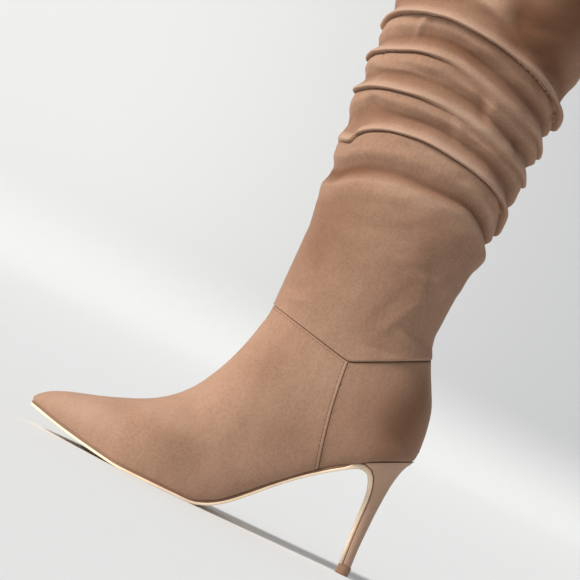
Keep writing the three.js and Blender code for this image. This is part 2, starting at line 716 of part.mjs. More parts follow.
function pullSolid() {
  const thick = 1;
  const neck = eyeRadius + 1;
  const blade = pullLength - neck;
  const bladeWidth = eyeWidth * 1.4;
  const hole = rodAcross(pinRadius + gap, eyeWidth * 2, sliderX, pinY, pinZ);
  const window = box(bladeWidth * 0.45, thick * 3, blade * 0.4, sliderX, pinY, pinZ - neck - blade * 0.6);
  return rodAcross(eyeRadius, eyeWidth, sliderX, pinY, pinZ)
    .add(box(eyeWidth, thick, neck + 0.4, sliderX, pinY, pinZ - neck / 2 - 0.2))
    .add(box(bladeWidth, thick, blade, sliderX, pinY, pinZ - neck - blade / 2))
    .subtract(hole)
    .subtract(window);
}

// Materials and nodes
const suede = new THREE.MeshStandardMaterial({ color: 0xb2907a, roughness: 0.95 });
const natural = new THREE.MeshStandardMaterial({ color: 0xe8d3b6, roughness: 0.6 });
const lining = new THREE.MeshStandardMaterial({ color: 0xc9b59c, roughness: 0.8 });
const rubber = new THREE.MeshStandardMaterial({ color: 0x8a6244, roughness: 0.7 });
const tape = new THREE.MeshStandardMaterial({ color: 0x5a4436, roughness: 0.8 });
const metal = new THREE.MeshStandardMaterial({ color: 0xcfc4ba, roughness: 0.3, metalness: 1 });

const boot = new THREE.Group();
boot.name = 'slouch_boot';
function addNode(name, solid, material) {
  const mesh = new THREE.Mesh(toGeometry(solid), material);
  mesh.name = name;
  boot.add(mesh);
}

addNode('upper', upper, suede);
addNode('shaft', shaft, suede);
addNode('outsole', outsoleSolid(), natural);
addNode('heel', heel, suede);
addNode('top_piece', topPiece, rubber);
addNode('insole', insole, lining);
addNode('zip_tape', zipTape, tape);
addNode('zip_slider', sliderSolid(), metal);
addNode('zip_pull', pullSolid(), metal);

export default boot;
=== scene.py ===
# %% [markdown]
# A left slouch boot in tan imitation suede: a pointed toe, a tall slim heel and a soft shaft
# that sags into folds. The solid model gives every piece its place. This lesson dresses it:
# it skins the upper and the shaft finely, puts the folds where a worn boot has them, and
# gives each piece its finish. Lengths are in metres; +X is the toe, +Y the outer side.

import math

import bmesh
import bpy
from mathutils import Matrix, Vector, noise
from mathutils.bvhtree import BVHTree


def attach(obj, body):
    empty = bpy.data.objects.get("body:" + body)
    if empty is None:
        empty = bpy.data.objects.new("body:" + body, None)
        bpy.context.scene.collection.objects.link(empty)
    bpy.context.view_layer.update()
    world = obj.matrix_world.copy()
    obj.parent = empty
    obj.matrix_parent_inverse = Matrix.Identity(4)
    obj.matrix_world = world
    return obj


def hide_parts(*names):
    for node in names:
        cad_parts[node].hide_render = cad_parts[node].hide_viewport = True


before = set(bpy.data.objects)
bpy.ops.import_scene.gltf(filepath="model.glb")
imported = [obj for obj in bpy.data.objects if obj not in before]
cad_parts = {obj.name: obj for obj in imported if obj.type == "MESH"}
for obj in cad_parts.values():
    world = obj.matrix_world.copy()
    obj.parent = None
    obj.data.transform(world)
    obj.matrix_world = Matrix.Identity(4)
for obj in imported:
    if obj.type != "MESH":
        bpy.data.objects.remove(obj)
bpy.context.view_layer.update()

# %% [markdown]
# The camera looks across the boot at its outer side. The picture is turned so that the shaft
# runs up to the right. A long lens keeps the heel and the toe at one scale.

# %% Camera
TURN = math.radians(26.0)
AIM = Vector((0.1109, 0.0, 0.1517))
DISTANCE = 3.144
up = Vector((math.sin(TURN), 0.0, math.cos(TURN)))
right = Vector((-math.cos(TURN), 0.0, math.sin(TURN)))
back = right.cross(up)

camera_data = bpy.data.cameras.new("camera")
camera_data.lens = 300.0
camera_data.sensor_width = 36.0
camera = bpy.data.objects.new("camera", camera_data)
turned = Matrix((right, up, back)).transposed().to_4x4()
camera.matrix_world = Matrix.Translation(AIM + back * DISTANCE) @ turned
bpy.context.scene.collection.objects.link(camera)
bpy.context.scene.camera = camera
print("camera looks along", [round(-value, 3) for value in back])

# %% [markdown]
# A photographer's sweep is one sheet of pale card: it lies flat under the boot and curves up
# far behind it, out of the way of a camera that walks round the boot. One strip of edges is
# extruded along the profile.

# %% Pale sweep
SWEEP_BEHIND = -5.0
SWEEP_BEND = 1.2
SWEEP_FRONT = 5.0
SWEEP_SIDE = 5.0
SWEEP_TOP = 4.0
sweep_profile = [(SWEEP_FRONT, 0.0), (SWEEP_BEHIND + SWEEP_BEND, 0.0)]
for step in range(1, 16):
    angle = step / 16 * math.pi / 2
    y = SWEEP_BEHIND + SWEEP_BEND * (1 - math.sin(angle))
    sweep_profile.append((y, SWEEP_BEND * (1 - math.cos(angle))))
sweep_profile += [(SWEEP_BEHIND, SWEEP_BEND), (SWEEP_BEHIND, SWEEP_TOP)]

mesh = bmesh.new()
corners = [mesh.verts.new((-SWEEP_SIDE, y, z)) for y, z in sweep_profile]
edges = [mesh.edges.new(pair) for pair in zip(corners, corners[1:])]
grown = bmesh.ops.extrude_edge_only(mesh, edges=edges)["geom"]
bmesh.ops.translate(mesh, verts=[v for v in grown if isinstance(v, bmesh.types.BMVert)],
                    vec=(2 * SWEEP_SIDE, 0.0, 0.0))
bmesh.ops.recalc_face_normals(mesh, faces=mesh.faces)
sweep_mesh = bpy.data.meshes.new("sweep")
mesh.to_mesh(sweep_mesh)
mesh.free()
for face in sweep_mesh.polygons:
    face.use_smooth = True
sweep = bpy.data.objects.new("sweep", sweep_mesh)
bpy.context.scene.collection.objects.link(sweep)
print("sweep has", len(sweep_mesh.polygons), "faces")

# %% [markdown]
# Light comes from the toe's side, above and in front, through a large soft window: a sun lamp
# with a wide angle. A pale sky fills the shadows. The back of the leg falls into shade, and
# each fold's crest catches light over the dark line beneath it.

# %% Lamp and sky
KEY_FROM = Vector((0.74, 0.46, 0.50))
key_data = bpy.data.lights.new("key_window", "SUN")
key_data.energy = 3.85
key_data.angle = math.radians(16)
key_data.color = (1.0, 0.965, 0.92)
key_lamp = bpy.data.objects.new("key_window", key_data)
key_lamp.rotation_euler = KEY_FROM.to_track_quat("Z", "Y").to_euler()
bpy.context.scene.collection.objects.link(key_lamp)

world = bpy.data.worlds.new("studio")
bpy.context.scene.world = world
world.use_nodes = True
world.node_tree.nodes["Background"].inputs["Color"].default_value = (0.94, 0.965, 1.0, 1.0)
world.node_tree.nodes["Background"].inputs["Strength"].default_value = 0.40
bpy.context.scene.view_settings.view_transform = "Standard"

# %% [markdown]
# Finishes are written as sums. A small class wraps a node's output, so that `1 - mask` or
# `grain * 0.3` adds the Math nodes by itself. Every other node comes from one method.


# %% A socket that can be added and multiplied
class Socket:
    """An output of a node that can be used in sums."""

    def __init__(self, tree, link):
        self.tree = tree
        self.link = link

    def node(self, kind, output=0, settings=None, **inputs):
        """Add a node; settings are its properties and inputs its sockets' values or links."""
        made = self.tree.nodes.new(kind)
        for name, value in (settings or {}).items():
            setattr(made, name, value)
        for name, value in inputs.items():
            key = int(name[1:]) if name[0] == "i" and name[1:].isdigit() else name.replace("_", " ")
            socket = made.inputs[key]
            if isinstance(value, Socket):
                self.tree.links.new(value.link, socket)
            elif isinstance(value, (tuple, list)) and socket.type == "RGBA":
                socket.default_value = (*value[:3], 1.0)
            else:
                socket.default_value = value
        return Socket(self.tree, made.outputs[output])

    def math(self, operation, *values):
        inputs = {f"i{k}": value for k, value in enumerate(values)}
        return self.node("ShaderNodeMath", settings={"operation": operation}, **inputs)

    def __add__(self, other):
        return self.math("ADD", self, other)

    def __sub__(self, other):
        return self.math("SUBTRACT", self, other)

    def __rsub__(self, other):
        return self.math("SUBTRACT", other, self)

    def __mul__(self, other):
        return self.math("MULTIPLY", self, other)

    __radd__ = __add__
    __rmul__ = __mul__

    def between(self, low, high):
        """0 below low and 1 above high, with a soft step."""
        return self.node("ShaderNodeMapRange", settings={"interpolation_type": "SMOOTHSTEP"},
                         Value=self, From_Min=low, From_Max=high)

    def mix(self, first, second):
        """A colour between two, by this mask."""
        return self.node("ShaderNodeMix", output=2, settings={"data_type": "RGBA"},
                         i0=self, i6=first, i7=second)


# %% [markdown]
# Every finish starts the same way: a Principled shader, and the object's own coordinates for
# its patterns. Nothing is painted by where the camera stands.


# %% Start a finish
def start_finish(name, **constants):
    """A new material with its shader, its coordinates and the shader's fixed values set."""
    material = bpy.data.materials.new(name)
    material.use_nodes = True
    tree = material.node_tree
    shader = tree.nodes["Principled BSDF"]
    for key, value in constants.items():
        shader.inputs[key.replace("_", " ")].default_value = value
    place = tree.nodes.new("ShaderNodeTexCoord").outputs["Object"]
    return material, shader, Socket(tree, place)


def feed(shader, name, source):
    source.tree.links.new(source.link, shader.inputs[name])


def relief(shader, height, strength, distance):
    """Bump from a height."""
    bump = height.node("ShaderNodeBump", Height=height, Strength=strength, Distance=distance)
    feed(shader, "Normal", bump)


def grain(place, scale, detail=4.0, rough=0.6):
    return place.node("ShaderNodeTexNoise", Vector=place, Scale=scale, Detail=detail,
                      Roughness=rough)


def grained_finish(name, scale, detail, dark, light, strength, distance, roughness):
    """A plain finish: one fine grain in its colour and its relief."""
    material, shader, place = start_finish(name, Roughness=roughness)
    fine = grain(place, scale, detail)
    feed(shader, "Base Color", fine.mix(dark, light))
    relief(shader, fine, strength, distance)
    return material


# %% [markdown]
# Imitation suede is a short nap of fine fibres. Brushed one way it is lighter, the other way
# darker, in soft patches the size of a thumb. Shade in the folds is painted dark into the
# colour, and their crests get painted highlights. The mesh carries a number at each point that
# holds this painted shade and light, partly the nap's own tone in places, and the colour follows it.

# %% Suede
SUEDE_LIGHT = (0.450, 0.272, 0.184)
SUEDE_DARK = (0.265, 0.152, 0.098)
# Painted shade in folds, seams and shaded patches; also the dark of stitches and darker nap
SUEDE_SHADE_AND_STITCH = (0.132, 0.052, 0.024)
# Rubbed pale nap, and painted highlights on crests, seam edges and the heel
SUEDE_RUBBED_AND_LIT = (0.560, 0.390, 0.290)
# Side view of the seams in metres: foot of the side seam, corner, front end
SEAM_FOOT_XZ = (0.0446, 0.0588)
SEAM_CORNER_XZ = (0.0570, 0.1268)
SEAM_FRONT_XZ = (0.1168, 0.1390)
SEAM_BOW = 0.0016


def line_marks(across, along):
    """Marks of a stitched seam: its groove, where shade is painted, its raised edge, where a highlight is
    painted, and its row of stitches.
    """
    groove = 1.0 - across.math("ABSOLUTE", across + 0.0001).between(0.00012, 0.00055)
    edge = 1.0 - across.math("ABSOLUTE", across - 0.0011).between(0.0003, 0.0012)
    row = 1.0 - across.math("ABSOLUTE", across - 0.0023).between(0.00008, 0.0003)
    dash = (along * 380.0).math("FRACT", along * 380.0).between(0.18, 0.3)
    return groove, edge, row * dash


def suede_finish(name, seams):
    """The nap's colour with its painted shade and highlights, and its relief. seams: also draws the vamp's
    stitched seams.
    """
    material, shader, place = start_finish(
        name, Roughness=0.92, Sheen_Weight=0.28, Sheen_Roughness=0.4,
        Specular_IOR_Level=0.15, Sheen_Tint=(0.90, 0.72, 0.60, 1.0))
    stretched = place.node("ShaderNodeMapping", Vector=place, Scale=(1.0, 1.0, 0.5))
    patches = grain(stretched, 15.0, 2.0, 0.5)
    strokes = grain(stretched, 95.0, 4.0, 0.62)
    fibre = grain(place, 560.0, 5.0, 0.75)
    painted_shading_and_nap = place.node("ShaderNodeAttribute", output=2, settings={"attribute_name": "painted_shading_and_nap"})
    seam = place.node("ShaderNodeAttribute", output=2, settings={"attribute_name": "seam"})
    shade = (patches.between(0.3, 0.7) * 0.30 + strokes.between(0.25, 0.75) * 0.20
             + fibre.between(0.25, 0.75) * 0.50)
    colour = shade.mix(SUEDE_DARK, SUEDE_LIGHT)
    # Painted shade where the mark is above zero, a painted highlight where it is below zero; partly the
    # nap's own tone in the patches
    painted_dark_share = painted_shading_and_nap.math("MAXIMUM", painted_shading_and_nap, 0.0)
    painted_pale_share = painted_shading_and_nap.math("MAXIMUM", painted_shading_and_nap * -1.0, 0.0)
    colour = painted_dark_share.math("MINIMUM", painted_dark_share * 0.66, 0.85).mix(colour, SUEDE_SHADE_AND_STITCH)
    colour = painted_pale_share.math("MINIMUM", painted_pale_share * 0.50, 0.6).mix(colour, SUEDE_RUBBED_AND_LIT)
    # Painted shade along the seams and the skins' edges, and the dark of the lips' stitches
    colour = (seam.between(0.35, 1.0) * 0.85).mix(colour, SUEDE_SHADE_AND_STITCH)
    height = fibre * 0.7 + strokes * 0.3
    if seams:
        x = place.node("ShaderNodeSeparateXYZ", output=0, Vector=place)
        y = place.node("ShaderNodeSeparateXYZ", output=1, Vector=place)
        z = place.node("ShaderNodeSeparateXYZ", output=2, Vector=place)
        foot_x, foot_z = SEAM_FOOT_XZ
        top_x, top_z = SEAM_CORNER_XZ
        share = (z - foot_z) * (1 / (top_z - foot_z))
        bow = (share * math.pi).math("SINE", share * math.pi) * SEAM_BOW
        lean = math.hypot(1, (top_x - foot_x) / (top_z - foot_z))
        across = (x - foot_x - share * (top_x - foot_x) - bow) * (1 / lean)
        groove, edge, row = line_marks(across, z)
        at_side = y.math("ABSOLUTE", y).between(0.010, 0.014) * (1.0 - share.between(0.985, 1.0))
        grade = (SEAM_FRONT_XZ[1] - top_z) / (SEAM_FRONT_XZ[0] - top_x)
        below = (top_z + (x - top_x) * grade - z) * (1 / math.hypot(1, grade))
        edge_row = line_marks(below, x)[2] * x.between(top_x - 0.001, top_x + 0.001)
        stitched = (row * at_side).math("MAXIMUM", row * at_side, edge_row)
        # A painted highlight on the seam's raised edge, painted shade in its groove, and dark stitches
        colour = (edge * at_side * 0.35).mix(colour, SUEDE_RUBBED_AND_LIT)
        colour = (stitched * 0.55).mix(colour, SUEDE_SHADE_AND_STITCH)
        colour = (groove * at_side * 0.9).mix(colour, SUEDE_SHADE_AND_STITCH)
        height = height + edge * at_side * 1.2 - groove * at_side * 2.0 - stitched * 0.8
    feed(shader, "Base Color", colour)
    relief(shader, height, 0.38, 0.0006)
    return material


suede = suede_finish("tan_suede", seams=False)
stitched_suede = suede_finish("stitched_tan_suede", seams=True)
print("finishes", suede.name, "and", stitched_suede.name)

# %% [markdown]
# The boot is skinned over sections, as a pattern maker's last is measured: each section has
# its front end, its rear end, its half width and the place of that width. The tables hold the
# same shares of the same sizes as the solid model.

# %% Sizes of the boot
MM = 0.001
BOOT_LENGTH = 241.0
BOOT_HEIGHT = 455.0
HEEL_OVERHANG = 11.0
HEEL_RISE = 83.5
TOE_SPRING = 10.7
ANKLE_HEIGHT = 139.0
BALL_WIDTH = 76.0
HEEL_WIDTH = 47.0
ANKLE_WIDTH = 76.0
CALF_WIDTH = 95.0
ANKLE_DEPTH = 104.0
CALF_DEPTH = 132.0
SHAFT_LEAN = 3.0
WALL = 2.0
SOLE = 3.0
LIP = 0.7
GAP = 0.3
SLOUCH_BOTTOM = 214.0
SLOUCH_HEIGHT = 160.0
SEAT_AT_BALL = SOLE + GAP

# %% [markdown]
# Two tables give the foot's underside: the height of the seat line from heel to toe, and the
# sole's outline seen from above. A smooth line is drawn through the rows of a table.

# %% Seat line and sole outline
# Columns: along, rise, spring
SEAT = [
    (0.000, 1.000, 0), (0.058, 0.923, 0), (0.116, 0.838, 0), (0.170, 0.746, 0),
    (0.220, 0.643, 0), (0.270, 0.526, 0), (0.320, 0.392, 0), (0.369, 0.248, 0),
    (0.419, 0.111, 0), (0.461, 0.034, 0), (0.502, 0.000, 0), (0.706, 0, 0.00),
    (0.768, 0, 0.13), (0.817, 0, 0.27), (0.867, 0, 0.43), (0.917, 0, 0.62),
    (0.967, 0, 0.85), (1.000, 0, 1.00),
]
# Columns: along, share of half heel width, share of half ball width, shift to the outer side
OUTLINE = [
    (0.000, 0.05, 0, 0), (0.006, 0.30, 0, 0), (0.021, 0.56, 0, 0), (0.046, 0.77, 0, 0),
    (0.079, 0.915, 0, 0), (0.129, 0.99, 0, 0), (0.212, 1.00, 0, 0.008),
    (0.295, 0.86, 0.08, 0.022), (0.378, 0.50, 0.335, 0.034), (0.440, 0.20, 0.600, 0.036),
    (0.502, 0, 0.842, 0.032), (0.564, 0, 0.947, 0.024), (0.627, 0, 1.000, 0.012),
    (0.689, 0, 0.990, -0.002), (0.751, 0, 0.905, -0.020), (0.813, 0, 0.763, -0.040),
    (0.876, 0, 0.592, -0.060), (0.925, 0, 0.434, -0.074), (0.967, 0, 0.276, -0.085),
    (0.988, 0, 0.171, -0.090), (1.000, 0, 0.075, -0.092),
]


def read_table(rows, column, at):
    """A column's value at a place in column 0, on a smooth line that stays between rows."""
    last = len(rows) - 1
    at = min(max(at, rows[0][0]), rows[last][0])
    i = 0
    while i < last - 1 and at > rows[i + 1][0]:
        i += 1

    def grade(k):
        return (rows[k + 1][column] - rows[k][column]) / (rows[k + 1][0] - rows[k][0])

    def slope(k):
        if k == 0:
            return grade(0)
        if k == last:
            return grade(last - 1)
        before, after = grade(k - 1), grade(k)
        return 0.0 if before * after <= 0 else 2 * before * after / (before + after)

    span = rows[i + 1][0] - rows[i][0]
    s = (at - rows[i][0]) / span
    low, high = rows[i][column], rows[i + 1][column]
    value = low * (1 + 2 * s) * (1 - s) ** 2 + high * s * s * (3 - 2 * s)
    return value + span * s * (1 - s) * (slope(i) * (1 - s) - slope(i + 1) * s)


def x_at(share):
    return -HEEL_OVERHANG + share * BOOT_LENGTH


def seat_height(x):
    share = (x + HEEL_OVERHANG) / BOOT_LENGTH
    rise = read_table(SEAT, 1, share) * HEEL_RISE
    return SEAT_AT_BALL + rise + read_table(SEAT, 2, share) * TOE_SPRING


def seat_point(x, offset):
    """A point of the seat line moved at right angles to it, up when offset is above zero."""
    slope = (seat_height(x + 1) - seat_height(x - 1)) / 2
    length = math.hypot(1, slope)
    return x - slope / length * offset, seat_height(x) + offset / length


def outline_half(x):
    share = (x + HEEL_OVERHANG) / BOOT_LENGTH
    heel = read_table(OUTLINE, 1, share) * HEEL_WIDTH / 2
    return heel + read_table(OUTLINE, 2, share) * BALL_WIDTH / 2


def centre_shift(x):
    return read_table(OUTLINE, 3, (x + HEEL_OVERHANG) / BOOT_LENGTH) * BALL_WIDTH


# %% [markdown]
# Sections run from the toe, round the ankle and up to the collar. Between two rows a curve
# gives any section, and a turn round it gives a point of the unfolded boot.

# %% Sections from toe to collar
# Columns: front along, front height, place on the seat line, half width, widest place
FOOT = [
    (0.9990, 0.127, 0.9990, 0.080, 0.60), (0.9900, 0.144, 0.9900, 0.168, 0.66),
    (0.9670, 0.174, 0.9670, 0.288, 0.70), (0.9290, 0.205, 0.9290, 0.432, 0.72),
    (0.8840, 0.233, 0.8840, 0.578, 0.72), (0.8340, 0.263, 0.8340, 0.718, 0.72),
    (0.7840, 0.295, 0.7800, 0.848, 0.72), (0.7390, 0.329, 0.7260, 0.955, 0.72),
    (0.6990, 0.369, 0.6680, 1.012, 0.71), (0.6660, 0.414, 0.6100, 1.010, 0.69),
    (0.6390, 0.461, 0.5520, 0.970, 0.66), (0.6140, 0.519, 0.4940, 0.912, 0.62),
    (0.5925, 0.587, 0.4360, 0.862, 0.58), (0.5765, 0.648, 0.3780, 0.830, 0.55),
    (0.5635, 0.709, 0.3150, 0.815, 0.53), (0.5530, 0.766, 0.2490, 0.815, 0.51),
    (0.5445, 0.817, 0.1830, 0.822, 0.50), (0.5380, 0.860, 0.1160, 0.833, 0.50),
    (0.5335, 0.896, 0.0500, 0.848, 0.50), (0.5305, 0.915, 0.0110, 0.858, 0.50),
]
# Columns: front along, front height, rear along, rear height, half width
ANKLE = [
    (0.5290, 0.932, 0.0012, 0.655, 0.870), (0.5275, 0.958, 0.0026, 0.720, 0.885),
    (0.5270, 0.987, 0.0095, 0.802, 0.900), (0.5280, 1.016, 0.0215, 0.881, 0.920),
    (0.5290, 1.045, 0.0430, 0.957, 0.940), (0.5300, 1.075, 0.0650, 1.029, 0.960),
    (0.5305, 1.108, 0.0840, 1.101, 0.980),
]
# Columns: level, swell, lean
SHAFT = [
    (0.00, 0.00, 0.00), (0.08, 0.03, 0.02), (0.18, 0.16, 0.06), (0.28, 0.48, 0.20),
    (0.40, 0.80, 0.50), (0.55, 0.95, 0.90), (0.72, 1.00, 1.00), (1.00, 1.00, 1.00),
]
SHAFT_FOOT = ANKLE_HEIGHT * ANKLE[-1][1]
ANKLE_FRONT = x_at(ANKLE[-1][0])
SHAFT_STEP = 10.0


def shaft_row(z):
    level = (z - SHAFT_FOOT) / (BOOT_HEIGHT - SHAFT_FOOT)
    swell = read_table(SHAFT, 1, level)
    depth = ANKLE_DEPTH + (CALF_DEPTH - ANKLE_DEPTH) * swell
    middle = ANKLE_FRONT - ANKLE_DEPTH / 2 + read_table(SHAFT, 2, level) * SHAFT_LEAN
    half = (ANKLE_WIDTH + (CALF_WIDTH - ANKLE_WIDTH) * swell) / 2
    return middle + depth / 2, z, middle - depth / 2, z, half, 0.6, 0.5, 0.0


def section_rows():
    """Each section as front x and z, rear x and z, half width, flat, widest place, shift."""
    rows = []
    for front, height, under, half, widest in FOOT:
        x = x_at(under)
        flat = max(outline_half(x) - LIP, 0.6)
        rows.append((x_at(front), height * ANKLE_HEIGHT, x, seat_height(x),
                     max(half * BALL_WIDTH / 2, flat + GAP), flat, widest, centre_shift(x)))
    for front, height, rear, rear_height, half in ANKLE:
        rows.append((x_at(front), height * ANKLE_HEIGHT, x_at(rear), rear_height * ANKLE_HEIGHT,
                     half * ANKLE_WIDTH / 2, 0.6, 0.5, 0.0))
    z = SHAFT_FOOT + SHAFT_STEP
    while z < BOOT_HEIGHT + SHAFT_STEP:
        rows.append(shaft_row(z))
        z += SHAFT_STEP
    return rows


SECTIONS = section_rows()
SHAFT_START = len(FOOT) + len(ANKLE) - 1


def section_at(s):
    """The section at a place between rows, on a smooth curve through them."""
    last = len(SECTIONS) - 1
    s = min(max(s, 0.0), last - 1e-6)
    i = int(s)
    t = s - i
    a = SECTIONS[max(i - 1, 0)]
    b = SECTIONS[i]
    c = SECTIONS[i + 1]
    d = SECTIONS[min(i + 2, last)]
    return [0.5 * (2 * q + (r - p) * t + (2 * p - 5 * q + 4 * r - w) * t * t
                   + (3 * q - p - 3 * r + w) * t ** 3) for p, q, r, w in zip(a, b, c, d)]


def plain_point(s, turn):
    """A point of the unfolded boot. turn is 0 at the front, 0.25 outside, 0.5 at the rear."""
    front_x, front_z, rear_x, rear_z, half, flat, widest, shift = section_at(s)
    share = turn if turn <= 0.5 else 1.0 - turn
    side = 1.0 if turn <= 0.5 else -1.0
    if share < 0.24:
        angle = share / 0.24 * math.pi / 2
        at = widest * (1 - math.cos(angle))
        y = half * math.sin(angle)
    elif share < 0.485:
        angle = (share - 0.24) / 0.245 * math.pi / 2
        at = widest + (1 - widest) * math.sin(angle)
        y = flat + (half - flat) * math.cos(angle)
    else:
        at = 1.0
        y = flat * (0.5 - share) / 0.015
    return Vector((front_x + (rear_x - front_x) * at, shift + side * y,
                   front_z + (rear_z - front_z) * at))


print("sections", len(SECTIONS), "shaft starts at", SHAFT_START)

# %% [markdown]
# The folds are the boot's character. Where the soft shaft slumps, the suede pinches into thin
# crests that run round the leg and dip towards the back, with a broad soft panel under each
# and a hollow over it. Each fold is listed: its height at turns round the leg, how
# far the crest stands out there, and how wide it is above and below.

# %% Folds listed one by one
# Points: turn in degrees from the front over the outer side, height, how far it stands out in mm
CRESTS = {
    "low_swell": [
        (0, 222, 1.0), (25, 224, 1.8), (41, 231, 2.2), (61, 238, 2.2), (81, 242, 2.0),
        (101, 243, 1.9), (123, 244, 2.1), (144, 239, 2.8), (162, 230, 3.6), (180, 224, 3.0),
        (210, 231, 1.8), (240, 237, 1.5), (270, 238, 1.4), (300, 235, 1.8), (330, 229, 1.6),
        (360, 222, 1.0),
    ],
    "second": [
        (0, 256, 2.4), (28, 258, 3.4), (36, 265, 3.8), (50, 272, 4.0), (64, 276, 4.2),
        (84, 278.5, 4.4), (107, 276.5, 4.6), (130, 272, 5.0), (150, 265, 5.8), (163, 257, 6.2),
        (173, 249, 5.6), (182, 245, 4.2), (200, 253, 3.6), (225, 261, 3.2), (250, 267, 3.4),
        (275, 268, 3.6), (300, 264, 3.4), (330, 259, 2.8), (360, 256, 2.4),
    ],
    "third": [
        (0, 289, 3.8), (18, 292, 4.4), (33, 296, 4.4), (51, 300, 4.2), (74, 303, 3.9),
        (95, 302, 3.6), (111, 298.5, 3.7), (129, 294, 3.9), (157, 287, 4.0), (180, 281, 3.8),
        (210, 287, 3.2), (240, 293, 3.2), (270, 294, 3.4), (300, 292, 3.4), (330, 289, 3.2),
        (360, 289, 3.8),
    ],
    "fourth": [
        (0, 311, 3.6), (18, 317, 4.6), (41, 324, 4.6), (61, 330, 4.3), (75, 331, 3.9),
        (98, 326, 3.3), (124, 319, 3.3), (150, 314, 3.9), (165, 308, 4.2), (180, 302, 3.8),
        (210, 311, 3.2), (240, 319, 3.4), (270, 321, 3.6), (300, 317, 3.4), (330, 312, 3.2),
        (360, 311, 3.6),
    ],
    "top": [
        (0, 334, 3.8), (15, 342, 4.4), (35, 349, 4.8), (56, 354.5, 5.0), (70, 356.5, 5.2),
        (92, 355, 5.6), (116, 350, 6.4), (136, 344, 7.2), (158, 335, 7.8), (170, 328, 7.0),
        (181, 323, 5.2), (200, 329, 4.4), (225, 339, 4.2), (250, 348, 4.4), (275, 350, 4.4),
        (300, 346, 4.2), (330, 339, 3.8), (360, 334, 3.8),
    ],
}
# Valley over each crest, from the lowest: turn, height over the crest, depth in mm
VALLEYS = [
    [(0, 9.0, 0.5), (29, 9.5, 1.4), (68, 8.0, 1.9), (106, 6.5, 2.1), (131, 6.0, 2.3),
     (165, 6.0, 2.4), (200, 8.0, 1.2), (300, 9.0, 1.2), (360, 9.0, 0.5)],
    [(0, 9.0, 0.8), (33, 19.0, 1.8), (47, 11.0, 2.3), (64, 7.5, 2.6), (96, 7.0, 2.9),
     (130, 8.0, 2.9), (160, 9.0, 2.8), (200, 10.0, 2.0), (275, 9.0, 2.0), (360, 9.0, 0.8)],
    [(0, 7.0, 1.4), (33, 7.5, 1.9), (74, 8.5, 2.4), (111, 8.5, 2.6), (157, 8.5, 2.6),
     (270, 8.0, 1.8), (360, 7.0, 1.4)],
    [(0, 7.0, 1.6), (41, 7.5, 2.0), (75, 8.0, 2.8), (98, 9.0, 3.3), (124, 10.0, 3.4),
     (160, 9.0, 3.4), (200, 7.0, 2.2), (270, 8.5, 2.4), (360, 7.0, 1.6)],
    [(0, 9.0, 1.2), (70, 10.0, 2.0), (100, 10.0, 2.2), (150, 10.0, 2.0), (270, 10.0, 1.8),
     (360, 9.0, 1.2)],
]
PANEL_BULGE = (1.9, 1.7, 1.7, 1.3)
# How sharply each crest above the first is pinched: turn, 0 to 1
SHARPNESS = [
    [(0, 0.4), (28, 0.8), (45, 1.0), (150, 1.0), (172, 0.7), (200, 0.5), (300, 0.5), (360, 0.4)],
    [(0, 0.8), (18, 1.0), (55, 1.0), (74, 0.7), (92, 0.3), (120, 0.15), (150, 0.45),
     (180, 0.6), (230, 0.3), (300, 0.6), (360, 0.8)],
    [(0, 0.7), (15, 1.0), (55, 1.0), (72, 0.6), (88, 0.2), (115, 0.05), (140, 0.25),
     (165, 0.6), (230, 0.4), (300, 0.5), (360, 0.7)],
    [(0, 0.5), (20, 0.9), (40, 1.0), (160, 1.0), (185, 0.6), (240, 0.5), (300, 0.7), (360, 0.5)],
]
# Between the crests the shaft is tied in by this much
SLACK = 3.4
# The folds grow in over this height below them
FOLD_LEAD = 34
# Lesser ridges: points as above, then reach above and below
RIDGES = [
    ([(0, 396, 0.0), (40, 392, 0.0), (60, 384, 1.0), (74, 374, 2.4), (90, 369.5, 2.8),
      (104, 363, 2.2), (116, 358, 1.0), (128, 356, 0.0), (360, 396, 0.0)], 7.0, 4.0),
    ([(0, 318, 0.0), (12, 320, 0.0), (24, 306, 1.0), (40, 309, 1.2), (60, 313, 0.9),
      (80, 312, 0.0), (360, 318, 0.0)], 2.5, 2.0),
    ([(0, 300, 0.0), (200, 300, 0.0), (220, 303, 1.4), (245, 307, 2.0), (275, 308, 2.0),
      (300, 305, 1.4), (320, 302, 0.0), (360, 300, 0.0)], 4.0, 5.0),
    ([(0, 244, 0.0), (112, 257, 0.0), (128, 258, 0.7), (146, 252, 1.5), (160, 244, 1.7),
      (172, 237, 0.6), (185, 236, 0.0), (360, 244, 0.0)], 3.0, 2.5),
]
# Short folds that run up the leg: turn, drift in degrees, low and high end, half width in
# degrees, height in mm
PINCHES = [
    (48.6, -3, 332, 349, 1.9, 2.4), (56, 5, 335, 350, 3.4, -0.8), (112, 6, 303, 318, 3.4, 1.5),
    (104, 7, 305, 320, 3.2, -1.3), (99, 6, 284, 297, 3.4, 1.2), (91, 5, 285, 296, 3.2, -0.9),
    (20, 3, 262, 274, 3.8, 1.0), (27, 2, 312, 322, 3.0, -0.9), (34, -3, 297, 304, 2.6, 0.9),
    (140, 8, 291, 303, 4.0, -1.2), (128, 6, 331, 341, 3.6, 1.0), (236, 5, 296, 312, 4.6, 1.6),
    (288, -5, 318, 336, 4.6, -1.6), (310, 4, 290, 304, 4.6, 1.4), (160, 6, 322, 331, 4.0, -1.2),
    (84, 14, 362, 420, 6.0, 1.6), (97, 16, 366, 424, 6.5, -1.7), (150, 10, 380, 430, 9.0, 1.2),
]


